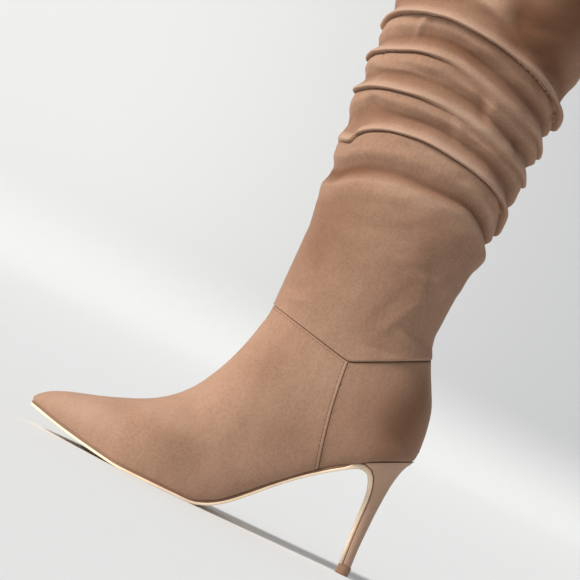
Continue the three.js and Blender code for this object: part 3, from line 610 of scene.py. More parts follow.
def fold_rows(turn):
    """Down one column: height, stand-out, mark (painted shade above zero in a fold, a painted highlight
    below zero on a crest) and droop.
    """
    tops = [(read_table(points, 1, turn), read_table(points, 2, turn))
            for points in CRESTS.values()]
    lows = [(top[0] + read_table(points, 1, turn), read_table(points, 2, turn))
            for top, points in zip(tops, VALLEYS)]
    swell, stand = tops[0]
    rows = [(swell - 30, 0.0, 0.0, 0.0), (swell - 15, stand * 0.25, 0.0, 0.0),
            (swell - 6, stand * 0.82, -0.25, 0.0), (swell, stand, -0.5, -0.5),
            (swell + 3, stand * 0.55, 0.1, -0.4), (lows[0][0], -lows[0][1], 0.9, 0.0)]
    for (low, depth), (top, stand), above, bulge, sharps in zip(lows, tops[1:], lows[1:],
                                                                PANEL_BULGE, SHARPNESS):
        room = top - low
        sharp = read_table(sharps, 1, turn)
        soft = 1 - sharp
        rows += [(low + room * 0.18, -depth * 0.45, 0.35, 0.0),
                 (low + room * 0.48, bulge, -0.10, 0.0),
                 (top - 5.2 - 2.5 * soft, bulge * 0.9, 0.0, 0.0),
                 (top - 3.0 - 2.2 * soft, bulge * 0.25 + (stand * 0.35 + 0.4) * soft,
                  0.85 * sharp, -0.3),
                 (top - 1.5 - 1.3 * soft, stand * (0.6 + 0.2 * soft), 0.35 * sharp - 0.2 * soft,
                  -1.9 * sharp - 0.3),
                 (top, stand, -1.0 + 0.45 * soft, -2.2 * sharp - 0.4),
                 (top + 1.5 + 1.5 * soft, stand * (0.62 + 0.12 * soft), -0.55 + 0.3 * soft,
                  -1.5 * sharp - 0.3),
                 (top + 3.4 + 1.4 * soft, stand * (0.05 + 0.3 * soft), 0.3, -0.5),
                 (above[0], -above[1], 0.75, 0.0)]
    high = lows[-1][0]
    rows += [(high + 9, -lows[-1][1] * 0.4, 0.25, 0.0), (high + 22, 0.4, 0.0, 0.0),
             (high + 60, 0.0, 0.0, 0.0)]
    ordered = [rows[0]]
    for row in rows[1:]:
        ordered.append((max(row[0], ordered[-1][0] + 0.5), *row[1:]))
    return ordered


def fade(value, low, high):
    """0 at low, 1 at high, with soft ends."""
    t = min(max((value - low) / (high - low), 0.0), 1.0)
    return t * t * (3 - 2 * t)


class Folds:
    """All folds at one turn round the leg, read once and used for a whole column."""

    def __init__(self, degrees):
        self.turn = degrees % 360.0
        self.rows = fold_rows(self.turn)
        self.ridges = [(read_table(points, 1, self.turn), read_table(points, 2, self.turn),
                        above, below) for points, above, below in RIDGES]

    def at(self, z):
        """How far the surface stands out and droops, and its painted shade: how deep in a fold it is, paler
        where ridges and pinches stand out and darker where pinches sink.
        """
        out, mark, droop = (read_table(self.rows, column, z) for column in (1, 2, 3))
        for height, stand, above, below in self.ridges:
            offset = z - height
            if stand > 0 and abs(offset) < 24:
                part = math.exp(-(offset / (above if offset > 0 else below)) ** 2)
                out += stand * part
                mark -= 0.25 * stand * part
        for turn, drift, low, high, width, stand in PINCHES:
            along = (z - low) / (high - low)
            across = (self.turn - turn - drift * (0.5 - along)) / width
            if -0.5 < along < 1.5 and abs(across) < 3:
                part = math.exp(-across ** 2 - ((along - 0.5) * 2.1) ** 2)
                out += stand * part
                mark -= 0.22 * stand * part
        return out, droop, mark


def folded(point, folds):
    """The point moved out to the folds, in mm, and its painted shade: how deep in a fold it lies."""
    if point.z < SLOUCH_BOTTOM - FOLD_LEAD:
        return point, 0.0
    middle = shaft_row(point.z)
    centre = (middle[0] + middle[2]) / 2
    stretch = (middle[0] - middle[2]) / 2 / middle[4]
    away = Vector((point.x - centre, point.y * stretch * stretch, 0.0)).normalized()
    out, droop, mark = folds.at(point.z)
    amount = fade(point.z, SLOUCH_BOTTOM - FOLD_LEAD, SLOUCH_BOTTOM - 10)
    slack = fade(point.z, 220, 242) * (1 - fade(point.z, 340, 362))
    out -= SLACK * slack
    slant = point.z + 0.22 * point.x
    wrinkle = noise.noise(Vector((point.x * 0.022, point.y * 0.022, slant * 0.085))) * 1.1
    wrinkle += noise.noise(Vector((point.x * 0.07, point.y * 0.07, slant * 0.16 + 7))) * 0.4
    calm = 1.0 - 0.6 * fade(point.z, SLOUCH_BOTTOM + SLOUCH_HEIGHT, BOOT_HEIGHT - 30)
    moved = point + away * ((out + wrinkle * calm) * amount)
    moved.z += droop * amount
    return moved, mark * amount


print("crests", len(CRESTS), "ridges", len(RIDGES), "pinches", len(PINCHES))

# %% [markdown]
# The smooth parts aren't quite smooth. A few shallow creases start at the ankle's seams.
# Soft patches are painted darker on the counter and the collar and paler on the toe: painted
# shade and light, partly the nap's own tone.

# %% Creases and painted shade in side view
# From x, z to x, z; half width and height in mm
CREASES = [
    (36, 157, 15, 149.5, 1.9, 0.9), (31, 160.5, 12, 158, 2.2, -0.8),
    (54, 141, 30, 144.5, 2.2, -0.45), (47, 152, 30, 186, 3.2, 0.5), (54, 158, 38, 196, 4.0, -0.4),
    (112, 146, 96, 150, 2.4, 0.5), (116, 152, 98, 160, 3.0, -0.4), (96, 60, 118, 74, 7.0, -0.35),
    (108, 52, 132, 60, 6.0, 0.3), (18, 170, 34, 204, 4.0, -0.6), (100, 172, 112, 208, 4.0, -0.4),
]
# Middle x, z, reach along x and z, and painted shade: above zero is darker, below zero paler
SHADE_PATCHES = [
    (5, 112, 18, 44, 0.66), (28, 100, 26, 26, 0.30), (74, 66, 22, 13, 0.26),
    (66, 108, 16, 22, -0.18), (96, 74, 20, 16, -0.10), (108, 96, 14, 22, 0.20),
    (138, 30, 26, 9, 0.16), (150, 44, 22, 6, -0.18), (202, 24, 30, 12, -0.42),
    (108, 190, 14, 44, 0.24), (20, 190, 15, 34, -0.22), (64, 205, 26, 16, -0.14),
    (48, 152, 20, 10, 0.12), (52, 300, 24, 9, -0.24), (56, 276, 26, 8, -0.30),
    (24, 345, 14, 50, 0.24), (112, 300, 12, 60, 0.10), (56, 345, 26, 12, 0.18),
    (58, 318, 26, 8, 0.16), (86, 338, 22, 12, 0.26), (48, 372, 22, 18, 0.72),
    (88, 369, 13, 12, -0.10), (18, 400, 30, 34, 0.80), (64, 425, 40, 30, 0.36),
]
PATCH_SHADE_STRENGTH = 1.35
# Painted shade over the ankle, and less of it where the folds begin
ANKLE_SHADE = 0.40
FOLDS_SHADE = 0.15
# The painted shade and light are fainter on the inner side
INNER_SHADE = 0.35


def side_view_marks(x, y, z):
    """Height of the small creases and the painted shade of the patches, fainter on the inner side; raised
    creases are painted paler and sunken ones darker.
    """
    height = 0.0
    for x0, z0, x1, z1, width, stand in CREASES:
        length = math.hypot(x1 - x0, z1 - z0)
        along = ((x - x0) * (x1 - x0) + (z - z0) * (z1 - z0)) / length
        across = ((x - x0) * (z1 - z0) - (z - z0) * (x1 - x0)) / length
        if -8 < along < length + 8 and abs(across) < width * 3:
            ends = fade(along, -6, 6) * (1 - fade(along, length - 6, length + 6))
            height += stand * ends * math.exp(-(across / width) ** 2)
    shade = ANKLE_SHADE * fade(z, 135, 200) * (1 - (1 - FOLDS_SHADE) * fade(z, 226, 252))
    for x0, z0, reach_x, reach_z, amount in SHADE_PATCHES:
        distance = ((x - x0) / reach_x) ** 2 + ((z - z0) / reach_z) ** 2
        if distance < 6:
            shade += PATCH_SHADE_STRENGTH * amount * math.exp(-distance)
    shade_share_by_side = INNER_SHADE + (1 - INNER_SHADE) * fade(y, -15, 15)
    return height, shade * shade_share_by_side - 0.12 * height


# %% [markdown]
# The ankle seam is a shallow V, lowest at the side. Upper and shaft meet there, so both are
# cut to the same line: down each column of the skin, the seam's place is found by halving.

# %% Ankle seam
SEAM_LOW = (x_at(0.282), 0.912 * ANKLE_HEIGHT)
SEAM_FRONT = (ANKLE_FRONT, ANKLE_HEIGHT)
SEAM_REAR = (x_at(0.083), 1.085 * ANKLE_HEIGHT)
SIDE_SEAM_FOOT = (x_at(0.231), seat_height(x_at(0.231)))


def seam_height(x):
    """The seam's height over a place along the boot, with its low point a little rounded."""
    front = (SEAM_FRONT[1] - SEAM_LOW[1]) / (SEAM_FRONT[0] - SEAM_LOW[0])
    rear = (SEAM_REAR[1] - SEAM_LOW[1]) / (SEAM_LOW[0] - SEAM_REAR[0])
    ahead = x - SEAM_LOW[0]
    soft = math.hypot(ahead, 1.5) - 1.5
    return SEAM_LOW[1] + ((front + rear) * soft + (front - rear) * ahead) / 2


def seam_place(turn):
    """Where the ankle seam crosses one column of the skin."""
    low, high = 14.0, 30.0
    for _ in range(26):
        middle = (low + high) / 2
        point = plain_point(middle, turn)
        if point.z > seam_height(point.x):
            high = middle
        else:
            low = middle
    return (low + high) / 2


def side_seam_distance(point):
    """Distance in side view from the seam between vamp and counter, above zero on the vamp."""
    foot_x, foot_z = SIDE_SEAM_FOOT
    top_x, top_z = SEAM_LOW
    share = (point.z - foot_z) / (top_z - foot_z)
    bow = 1.6 * math.sin(math.pi * min(max(share, 0.0), 1.0))
    x = foot_x + (top_x - foot_x) * share + bow
    slope = (top_x - foot_x) / (top_z - foot_z)
    return (point.x - x) / math.hypot(1, slope)


print("seam runs from", SEAM_FRONT, "down to", SEAM_LOW, "and up to", SEAM_REAR)

# %% [markdown]
# A skin is a grid that is rolled up: the operator lays out its rows and columns, each vertex
# is put on the boot, and the two long edges are merged. The rows follow the sections, so
# light runs smoothly over the form.


# %% Roll up a grid
def rolled_grid(columns, rows, place, round_=True):
    """A skin from a grid. place(u, v) gives a point in mm and its two marks of painted shade and light."""
    mesh = bmesh.new()
    painted_shading_and_nap = mesh.verts.layers.float.new("painted_shading_and_nap")
    seam = mesh.verts.layers.float.new("seam")
    bmesh.ops.create_grid(mesh, x_segments=columns, y_segments=rows, size=0.5)
    for vertex in mesh.verts:
        u = vertex.co.x + 0.5
        v = vertex.co.y + 0.5
        point, marks = place(u % 1.0 if round_ else u, v)
        vertex.co = point * MM
        vertex[painted_shading_and_nap], vertex[seam] = marks
    if round_:
        bmesh.ops.remove_doubles(mesh, verts=mesh.verts, dist=0.00002)
    return mesh


def finish_mesh(mesh, name, materials, face_towards=None):
    """Turn a bmesh into a smooth object with its materials."""
    bmesh.ops.recalc_face_normals(mesh, faces=mesh.faces)
    if face_towards:
        mesh.normal_update()
        if sum((face.normal for face in mesh.faces), Vector()).dot(Vector(face_towards)) < 0:
            bmesh.ops.reverse_faces(mesh, faces=mesh.faces)
    data = bpy.data.meshes.new(name)
    mesh.to_mesh(data)
    mesh.free()
    for face in data.polygons:
        face.use_smooth = True
    for material in materials:
        data.materials.append(material)
    piece = bpy.data.objects.new(name, data)
    bpy.context.scene.collection.objects.link(piece)
    print(name, "has", len(data.polygons), "faces")
    return piece


def wall_inwards(piece, thickness, inner_slot, rim_slot):
    """Give a skin its wall, with the lining's finish inside."""
    solid = piece.modifiers.new("wall", "SOLIDIFY")
    solid.thickness = thickness
    solid.offset = -1.0
    solid.material_offset = inner_slot
    solid.material_offset_rim = rim_slot


# %% [markdown]
# Lining: a smooth tan woven backing inside the shaft, with a fine grain.

# %% Lining finish
lining = grained_finish("lining", 900.0, 2.0, (0.30, 0.20, 0.135), (0.42, 0.295, 0.205),
                        0.15, 0.0004, 0.78)
print("finish", lining.name)

# %% [markdown]
# Upper: vamp and counter. The skin ends at the ankle seam, where its edge turns in a little
# under the shaft. The seam between vamp and counter is a groove with a raised edge on the
# vamp's side, which is folded over the counter and stitched.

# %% Skin of the upper
UPPER_COLUMNS = 200
UPPER_ROWS = 190
UPPER_WALL = 0.0016
upper_seams = [seam_place(k / UPPER_COLUMNS) for k in range(UPPER_COLUMNS)]


def inward(s, turn):
    """The direction into the boot at a place on the unfolded skin."""
    a = plain_point(s + 0.02, turn) - plain_point(s - 0.02, turn)
    b = plain_point(s, (turn + 0.002) % 1.0) - plain_point(s, (turn - 0.002) % 1.0)
    normal = a.cross(b)
    if normal.length < 1e-9:
        return Vector((0, 0, 0))
    normal.normalize()
    middle = section_at(s)
    centre = Vector(((middle[0] + middle[2]) / 2, middle[7], (middle[1] + middle[3]) / 2))
    return normal if normal.dot(centre - plain_point(s, turn)) > 0 else -normal


def upper_place(u, v):
    turn = u % 1.0
    end = upper_seams[round(turn * UPPER_COLUMNS) % UPPER_COLUMNS]
    s = v * end
    point = plain_point(s, turn)
    across = side_seam_distance(point)
    side = fade(min(turn, 1 - turn), 0.02, 0.06)
    step = 0.55 * fade(across, -0.9, 0.5) * side
    ridge = 0.35 * math.exp(-((across - 1.6) / 1.5) ** 2) * side
    under_seam = 0.9 * (1 - fade(end - s, 0.0, 0.10))
    depth = 0.55 * side - step - ridge + under_seam
    soft = noise.noise(point * 0.028) * 0.5 * fade(s, 2.0, 6.0)
    stand, shade = side_view_marks(*point)
    if turn < 0.48 or turn > 0.52:
        point = point + inward(s, turn) * (depth + soft - stand)
    # Painted shade along the side seam and where the skin's edge tucks under the shaft
    dark = math.exp(-((across + 0.25) / 0.55) ** 2) * side
    dark = max(dark, 1 - fade(end - s, 0.0, 0.06))
    return point, (shade, dark)


mesh = rolled_grid(UPPER_COLUMNS, UPPER_ROWS, upper_place)
toe_edges = [edge for edge in mesh.edges if edge.is_boundary
             and edge.verts[0].co.x > 0.22]
tip = bmesh.ops.extrude_edge_only(mesh, edges=toe_edges)["geom"]
tip_verts = [part for part in tip if isinstance(part, bmesh.types.BMVert)]
centre = sum((vertex.co for vertex in tip_verts), Vector()) / len(tip_verts)
for vertex in tip_verts:
    vertex.co = centre + (vertex.co - centre) * 0.55 + Vector((0.0007, 0, 0))
rim = [edge for edge in mesh.edges if edge.is_boundary and edge.verts[0] in set(tip_verts)]
bmesh.ops.holes_fill(mesh, edges=rim, sides=0)
upper_skin = finish_mesh(mesh, "upper_skin", [stitched_suede, lining])
wall_inwards(upper_skin, UPPER_WALL, 1, 0)
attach(upper_skin, "boot")
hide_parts("upper")

# %% [markdown]
# Shaft: the same skin from the seam to the collar, with the folds. Its lower edge is folded
# under and stands a little proud of the upper.

# %% Skin of the shaft
SHAFT_COLUMNS = 196
# Rows of the grid, in three zones and the turned-in hem: rows, end height
ZONES = [(60, SLOUCH_BOTTOM - 4), (350, SLOUCH_BOTTOM + SLOUCH_HEIGHT + 4),
         (50, BOOT_HEIGHT - 1.0), (18, BOOT_HEIGHT)]
SHAFT_ROWS = sum(rows for rows, _ in ZONES)
HEM_DEPTH = 14.0
shaft_seams = [seam_place(k / SHAFT_COLUMNS) for k in range(SHAFT_COLUMNS)]
column_folds = {}


def place_of_height(z):
    return SHAFT_START + (z - SHAFT_FOOT) / SHAFT_STEP


def folds_of(column, columns):
    """The folds of one column, read at the turn that the column has round the leg."""
    if (column, columns) not in column_folds:
        row = shaft_row(SLOUCH_BOTTOM + SLOUCH_HEIGHT / 2)
        high = plain_point(place_of_height(row[1]), column / columns)
        centre = (row[0] + row[2]) / 2
        stretch = (row[0] - row[2]) / 2 / row[4]
        turn = math.degrees(math.atan2(high.y * stretch, high.x - centre))
        column_folds[column, columns] = Folds(turn)
    return column_folds[column, columns]


def shaft_place(u, v):
    column = round((u % 1.0) * SHAFT_COLUMNS) % SHAFT_COLUMNS
    turn = column / SHAFT_COLUMNS
    row = v * SHAFT_ROWS
    begin = shaft_seams[column]
    start = begin
    for rows, height in ZONES[:3]:
        end = place_of_height(height)
        if row <= rows:
            break
        row -= rows
        start = end
    hem = 0.0
    if height == ZONES[2][1] and row > rows:
        hem = (row - rows) / ZONES[3][0]
        row = rows
    s = start + (end - start) * row / rows
    point = plain_point(s, turn)
    near = s - begin
    proud = 0.25 + 0.55 * math.exp(-near / 0.6) - 1.3 * (1 - fade(near, 0.0, 0.09))
    inside = inward(s, turn)
    stand, shade = side_view_marks(*point)
    point = point - inside * (proud + stand)
    point, mark = folded(point, folds_of(column, SHAFT_COLUMNS))
    if hem:
        angle = min(hem * 2, 1.0) * math.pi
        point = point + inside * (1 - math.cos(angle)) * 0.9
        point.z += math.sin(angle) - HEM_DEPTH * max(hem * 2 - 1, 0.0)
    # Painted shade at the shaft's lower edge, with a painted highlight just above it
    dark = 1 - fade(near, 0.0, 0.05)
    mark = mark + shade - 0.6 * math.exp(-((near - 0.12) / 0.07) ** 2)
    return point, (mark, dark)


mesh = rolled_grid(SHAFT_COLUMNS, SHAFT_ROWS, shaft_place)
shaft_skin = finish_mesh(mesh, "shaft_skin", [suede])
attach(shaft_skin, "boot")
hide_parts("shaft")

# %% [markdown]
# Behind the suede lies a lining of its own, a coarser sheet on the same folds, with its wall
# added by a Solidify modifier. It is what shows when one looks down the shaft.

# %% Lining of the shaft
LINING_COLUMNS = 96
LINING_ROWS = 150
LINING_WALL = 0.0006


def lining_place(u, v):
    column = round((u % 1.0) * LINING_COLUMNS) % LINING_COLUMNS
    turn = column / LINING_COLUMNS
    begin = seam_place(turn) - 0.6
    s = begin + (place_of_height(BOOT_HEIGHT - 5) - begin) * v
    point = plain_point(s, turn) + inward(s, turn) * 2.2
    point, mark = folded(point, folds_of(column, LINING_COLUMNS))
    return point, (mark, 0.0)


mesh = rolled_grid(LINING_COLUMNS, LINING_ROWS, lining_place)
shaft_lining = finish_mesh(mesh, "shaft_lining", [lining])
wall_inwards(shaft_lining, LINING_WALL, 0, 0)
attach(shaft_lining, "boot")

# %% [markdown]
# Outsole: a thin slab that follows the foot's underside, bends round at the front of the heel
# and runs down it as a strip. Its edge is natural and pale, with a thin dark brown strip above
# it where it meets the upper.

# %% Sole and strip tables
# Columns: back, down, half width, thickness
STRIP = [
    (0.000, 0.000, 0.985, 1.00), (0.170, -0.030, 0.945, 1.12), (0.335, -0.038, 0.850, 1.25),
    (0.500, -0.022, 0.720, 1.25), (0.625, 0.016, 0.595, 1.10), (0.720, 0.080, 0.470, 0.95),
    (0.795, 0.165, 0.365, 0.85), (0.840, 0.270, 0.305, 0.80), (0.873, 0.457, 0.255, 0.75),
    (0.920, 0.697, 0.220, 0.70), (1.000, 1.000, 0.200, 0.65),
]
STRIP_LEAVE = 0.154
# The heel cover is painted paler: painted light on a part that the lamp leaves in shade
HEEL_PAINTED_LIGHT = -0.9
TOP_PIECE_HEIGHT = 6.0
TOP_PIECE_LENGTH = 9.0
TOP_PIECE_WIDTH = 9.4
leave_x, leave_z = seat_point(x_at(STRIP_LEAVE), -GAP - SOLE)
STRIP_FOOT = (TOP_PIECE_LENGTH / 2, TOP_PIECE_HEIGHT + GAP)


def strip_stations():
    """The strip's stations: visible face, hidden face, half width and shift."""
    faces = [(leave_x + (STRIP_FOOT[0] - leave_x) * row[0],
              leave_z + (STRIP_FOOT[1] - leave_z) * row[1]) for row in STRIP]
    stations = []
    for k, (face, row) in enumerate(zip(faces, STRIP)):
        before = faces[max(k - 1, 0)]
        after = faces[min(k + 1, len(faces) - 1)]
        length = math.hypot(after[0] - before[0], after[1] - before[1])
        reach = row[3] * SOLE
        hidden = (face[0] + (after[1] - before[1]) / length * reach,
                  max(face[1] - (after[0] - before[0]) / length * reach, STRIP_FOOT[1]))
        if k == 0:
            hidden = seat_point(x_at(STRIP_LEAVE), -GAP)
        shift = centre_shift(face[0]) if k == 0 else 0.0
        stations.append((face, hidden, row[2] * HEEL_WIDTH / 2, shift))
    return stations


def sole_stations(low, high, inset, strip):
    """Stations of a slab under the seat line from the toe, with the strip when asked for."""
    stations = []
    for k in range(56):
        x = x_at(1 + (STRIP_LEAVE - 1) * k / 56)
        stations.append((seat_point(x, low), seat_point(x, high),
                         max(outline_half(x) - inset, 0.5), centre_shift(x)))
    return stations + strip


# %% [markdown]
# A slab is made of rings of points, one a station, that are bridged and closed at both ends.

# %% Skin a slab over stations
def bridge_rings(mesh, rings):
    """Join rings of points, each to the next, and close both ends."""
    loops = []
    for ring in rings:
        made = [mesh.verts.new(point * MM) for point in ring]
        loops.append([mesh.edges.new((made[k], made[(k + 1) % len(made)]))
                      for k in range(len(made))])
    for first, second in zip(loops, loops[1:]):
        bmesh.ops.bridge_loops(mesh, edges=first + second)
    for end in (loops[0], loops[-1]):
        bmesh.ops.holes_fill(mesh, edges=end, sides=0)


def slab(name, stations, edge, materials):
    """A slab with rounded edges: one ring of points a station, bridged to the next."""
    rings = []
    for (low_x, low_z), (high_x, high_z), half, shift in stations:
        thick = math.hypot(high_x - low_x, high_z - low_z)
        soft = min(edge, thick * 0.3)
        marks = [(0.0, half - soft), (soft / thick * 0.3, half - soft * 0.3),
                 (soft / thick, half), (1 - soft / thick, half), (1.0, half - soft * 0.6)]
        mirrored = [(share, -y) for share, y in reversed(marks)]
        rings.append([Vector((low_x + (high_x - low_x) * share, shift + y,
                              low_z + (high_z - low_z) * share))
                      for share, y in marks + [(1.0, 0.0)] + mirrored + [(0.0, 0.0)]])
    mesh = bmesh.new()
    bridge_rings(mesh, rings)
    return finish_mesh(mesh, name, materials)


# %% [markdown]
# Three finishes meet at the sole: the pale natural edge, the thin dark brown line and the dark
# rubber of the top piece. Each has a fine grain, and the sole's tone is a little cloudy.

# %% Sole finishes
natural, natural_shader, natural_place = start_finish("natural_sole", Roughness=0.5)
natural_cloud = grain(natural_place, 60.0, 3.0)
natural_fine = grain(natural_place, 700.0, 3.0)
tone = natural_cloud * 0.6 + natural_fine * 0.4
feed(natural_shader, "Base Color",
     tone.between(0.3, 0.7).mix((0.80, 0.60, 0.415), (0.93, 0.76, 0.575)))
feed(natural_shader, "Roughness", natural_cloud.between(0.2, 0.8) * 0.2 + 0.4)
relief(natural_shader, natural_fine, 0.12, 0.0004)

dark_line_finish = grained_finish("dark_brown_line", 500.0, 3.0, (0.17, 0.082, 0.045),
                            (0.27, 0.135, 0.075), 0.15, 0.0003, 0.6)
rubber = grained_finish("top_piece_rubber", 800.0, 3.0, (0.23, 0.125, 0.07),
                        (0.33, 0.19, 0.115), 0.2, 0.0004, 0.62)
print("finishes", natural.name, dark_line_finish.name, rubber.name)

# %% [markdown]
# The outsole's slab takes the pale finish. The thin dark brown line is a narrower slab above
# it, and it goes on behind the strip down the heel.

# %% Outsole and rand
DARK_LINE_HEIGHT = 1.25
strip = strip_stations()
sole_face = slab("outsole_slab", sole_stations(-GAP - SOLE, -GAP - DARK_LINE_HEIGHT, 0.0, strip), 0.5,
                 [natural])
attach(sole_face, "boot")
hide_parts("outsole")
strip_dark_line = []
for before, station, after in zip(strip, strip[1:], strip[2:] + strip[-1:]):
    (_, low, half, shift) = station
    run_x, run_z = after[1][0] - before[1][0], after[1][1] - before[1][1]
    length = math.hypot(run_x, run_z)
    high = (low[0] + run_z / length * 0.8, max(low[1] - run_x / length * 0.8, STRIP_FOOT[1]))
    strip_dark_line.append((low, high, max(half - 0.15, 0.5), shift))
dark_line_strip = slab("dark_line_strip", sole_stations(-GAP - DARK_LINE_HEIGHT + 0.02, -0.05, 0.25, strip_dark_line), 0.25,
            [dark_line_finish])
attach(dark_line_strip, "boot")

# %% [markdown]
# Heel: a slim curved core wrapped in the upper's suede. Rings with a round back and a flat
# front are bridged from the top piece up to the seat. Each ring ends behind the sole's strip.

# %% Heel
# Columns: rear height, front height, back, half width
HEEL = [
    (0.000, 0.000, 0.00, 0.200), (0.110, 0.108, -0.09, 0.209), (0.220, 0.215, -0.14, 0.220),
    (0.420, 0.400, -0.15, 0.252), (0.570, 0.520, -0.10, 0.305), (0.680, 0.600, -0.03, 0.400),
    (0.770, 0.655, 0.08, 0.545), (0.850, 0.705, 0.26, 0.725), (0.925, 0.760, 0.55, 0.875),
    (0.985, 0.820, 0.92, 0.955), (1.060, 0.900, 1.08, 0.985),
]
HEEL_FRONT = 0.122
HEEL_RINGS = 44
DARK_LINE_BEHIND = 0.8
heel_base = TOP_PIECE_HEIGHT + GAP
heel_top = seat_height(-HEEL_OVERHANG)
hidden_line = [station[1] for station in strip]


def behind_strip(x, z):
    """How far a place in side view lies behind the strip's hidden face."""
    best = None
    for (ax, az), (bx, bz) in zip(hidden_line, hidden_line[1:]):
        length = math.hypot(bx - ax, bz - az)
        if length < 1e-6:
            continue
        share = min(max(((x - ax) * (bx - ax) + (z - az) * (bz - az)) / length ** 2, 0.0), 1.0)
        gap_x = x - ax - (bx - ax) * share
        gap_z = z - az - (bz - az) * share
        distance = math.hypot(gap_x, gap_z)
        side = (bx - ax) * gap_z - (bz - az) * gap_x
        if best is None or distance < abs(best):
            best = distance if side < 0 else -distance
    return best


def heel_ring(index):
    rear_share, fore_share, back_share, half_share = (
        read_table(numbered_heel, column, index) for column in (1, 2, 3, 4))
    tip_back = -TOP_PIECE_LENGTH / 2 + LIP
    rear_x = tip_back + (-HEEL_OVERHANG + GAP - tip_back) * back_share
    rear_z = heel_base + (heel_top - heel_base) * rear_share
    fore_z = heel_base + (heel_top - heel_base) * fore_share
    fore_x = x_at(HEEL_FRONT)
    half = half_share * HEEL_WIDTH / 2
    slope = (fore_z - rear_z) / (fore_x - rear_x)
    limit = rear_x
    while limit < fore_x and behind_strip(limit, rear_z + slope * (limit - rear_x)) > DARK_LINE_BEHIND:
        limit += 0.05
    round_part = min(half * 1.15, (limit - rear_x) * 0.9)
    ring = []
    for k in range(13):
        angle = k / 12 * math.pi / 2
        ring.append((rear_x + round_part * (1 - math.cos(angle)), half * math.sin(angle)))
    ring += [((rear_x + round_part) * 0.5 + limit * 0.5, half), (limit, half * 0.985)]
    ring = [Vector((x, y, min(rear_z + slope * (x - rear_x), seat_height(x) - GAP)))
            for x, y in ring]
    other = [Vector((point.x, -point.y, point.z)) for point in reversed(ring[1:])]
    return ring + other


numbered_heel = [(k, *row) for k, row in enumerate(HEEL)]
mesh = bmesh.new()
bridge_rings(mesh, [heel_ring(k / (HEEL_RINGS - 1) * (len(HEEL) - 1))
                    for k in range(HEEL_RINGS)])
# Painted light: every point of the heel cover is painted paler
heel_light = mesh.verts.layers.float.new("painted_shading_and_nap")
for vertex in mesh.verts:
    vertex[heel_light] = HEEL_PAINTED_LIGHT
heel_core = finish_mesh(mesh, "heel_cover", [suede])
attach(heel_core, "boot")
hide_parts("heel")

# %% [markdown]
# Top piece: the small wearing block. Its outline has a round back and a flat front; the
# outline is filled, extruded and its edges bevelled.

# %% Top piece
mesh = bmesh.new()
outline = []
half = TOP_PIECE_WIDTH / 2
rear = -TOP_PIECE_LENGTH / 2
for k in range(-10, 11):
    angle = k / 10 * math.pi / 2
    outline.append((rear + half * 1.1 * (1 - math.cos(angle)), half * math.sin(angle)))
outline = [(TOP_PIECE_LENGTH / 2, -half)] + outline + [(TOP_PIECE_LENGTH / 2, half)]
ring = [mesh.verts.new((x * MM, y * MM, 0.0)) for x, y in outline]
base = mesh.faces.new(ring)
grown = bmesh.ops.extrude_face_region(mesh, geom=[base])["geom"]
bmesh.ops.translate(mesh, verts=[v for v in grown if isinstance(v, bmesh.types.BMVert)],
                    vec=(0.0, 0.0, (TOP_PIECE_HEIGHT + GAP * 0.6) * MM))
bmesh.ops.recalc_face_normals(mesh, faces=mesh.faces)
sharp = [edge for edge in mesh.edges if edge.calc_face_angle(0.0) > 0.8]
bmesh.ops.bevel(mesh, geom=sharp, offset=0.00035, segments=3, profile=0.5, affect="EDGES",
                material=-1)
top_block = finish_mesh(mesh, "top_piece_block", [rubber])
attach(top_block, "boot")
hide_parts("top_piece")

# %% [markdown]
# Insole: the sock that the foot stands on, seen only down the shaft. It is a thin slab over
# the turned-in edge of the upper.

# %% Insole
SOCK_FRONT = 216
SOCK_REAR = -6
SOCK_THICK = 1.8
SOCK_STATIONS = 40
stations = []
for k in range(SOCK_STATIONS):
    x = SOCK_FRONT + (SOCK_REAR - SOCK_FRONT) * k / (SOCK_STATIONS - 1)
    stations.append((seat_point(x, WALL + GAP), seat_point(x, WALL + GAP + SOCK_THICK),
                     max(outline_half(x) - WALL - 1.4, 1.0), centre_shift(x)))
sock = slab("insole_sock", stations, 0.6, [lining])
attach(sock, "boot")
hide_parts("insole")

# %% [markdown]
# Zip on the inner side: a dark tape with the closed coil's small ridges, between two folded
# lips of suede that are stitched down. Rays from the inner side find the skin beneath, so
# the strips follow it. The slider and its pull keep their solid shape.

# %% Zip finishes
metal, metal_shader, metal_place = start_finish("rose_metal", Metallic=1.0)
metal_grain = grain(metal_place, 400.0, 3.0)
feed(metal_shader, "Base Color", metal_grain.mix((0.74, 0.60, 0.52), (0.84, 0.71, 0.63)))
feed(metal_shader, "Roughness", metal_grain * 0.2 + 0.2)
for node in ("zip_slider", "zip_pull"):
    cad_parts[node].data.materials.clear()
    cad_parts[node].data.materials.append(metal)

woven = grained_finish("zip_tape_cloth", 1200.0, 2.0, (0.10, 0.055, 0.035),
                       (0.17, 0.10, 0.065), 0.3, 0.0004, 0.7)
print("finishes", metal.name, woven.name)

# %% [markdown]
# The tape's middle line is read from the solid tape. Tape and lips are grids laid on the skin.

# %% Zip tape and lips
skins = [BVHTree.FromPolygons([vertex.co for vertex in skin.data.vertices],
                              [face.vertices for face in skin.data.polygons])
         for skin in (upper_skin, shaft_skin)]
tape_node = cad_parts["zip_tape"]
tape_points = [tape_node.matrix_world @ vertex.co for vertex in tape_node.data.vertices]
ZIP_LOW = min(point.z for point in tape_points) / MM
ZIP_HIGH = max(point.z for point in tape_points) / MM


TAPE_WIDTH = 3.2
COIL_PITCH = 1.5
LIP_START = 0.95
LIP_WIDTH = 2.9


def tape_middle(z):
    near = [point.x / MM for point in tape_points if abs(point.z / MM - z) < 1.0]
    return (min(near) + max(near)) / 2


ZIP_ENDS = (tape_middle(ZIP_LOW), tape_middle(ZIP_HIGH))


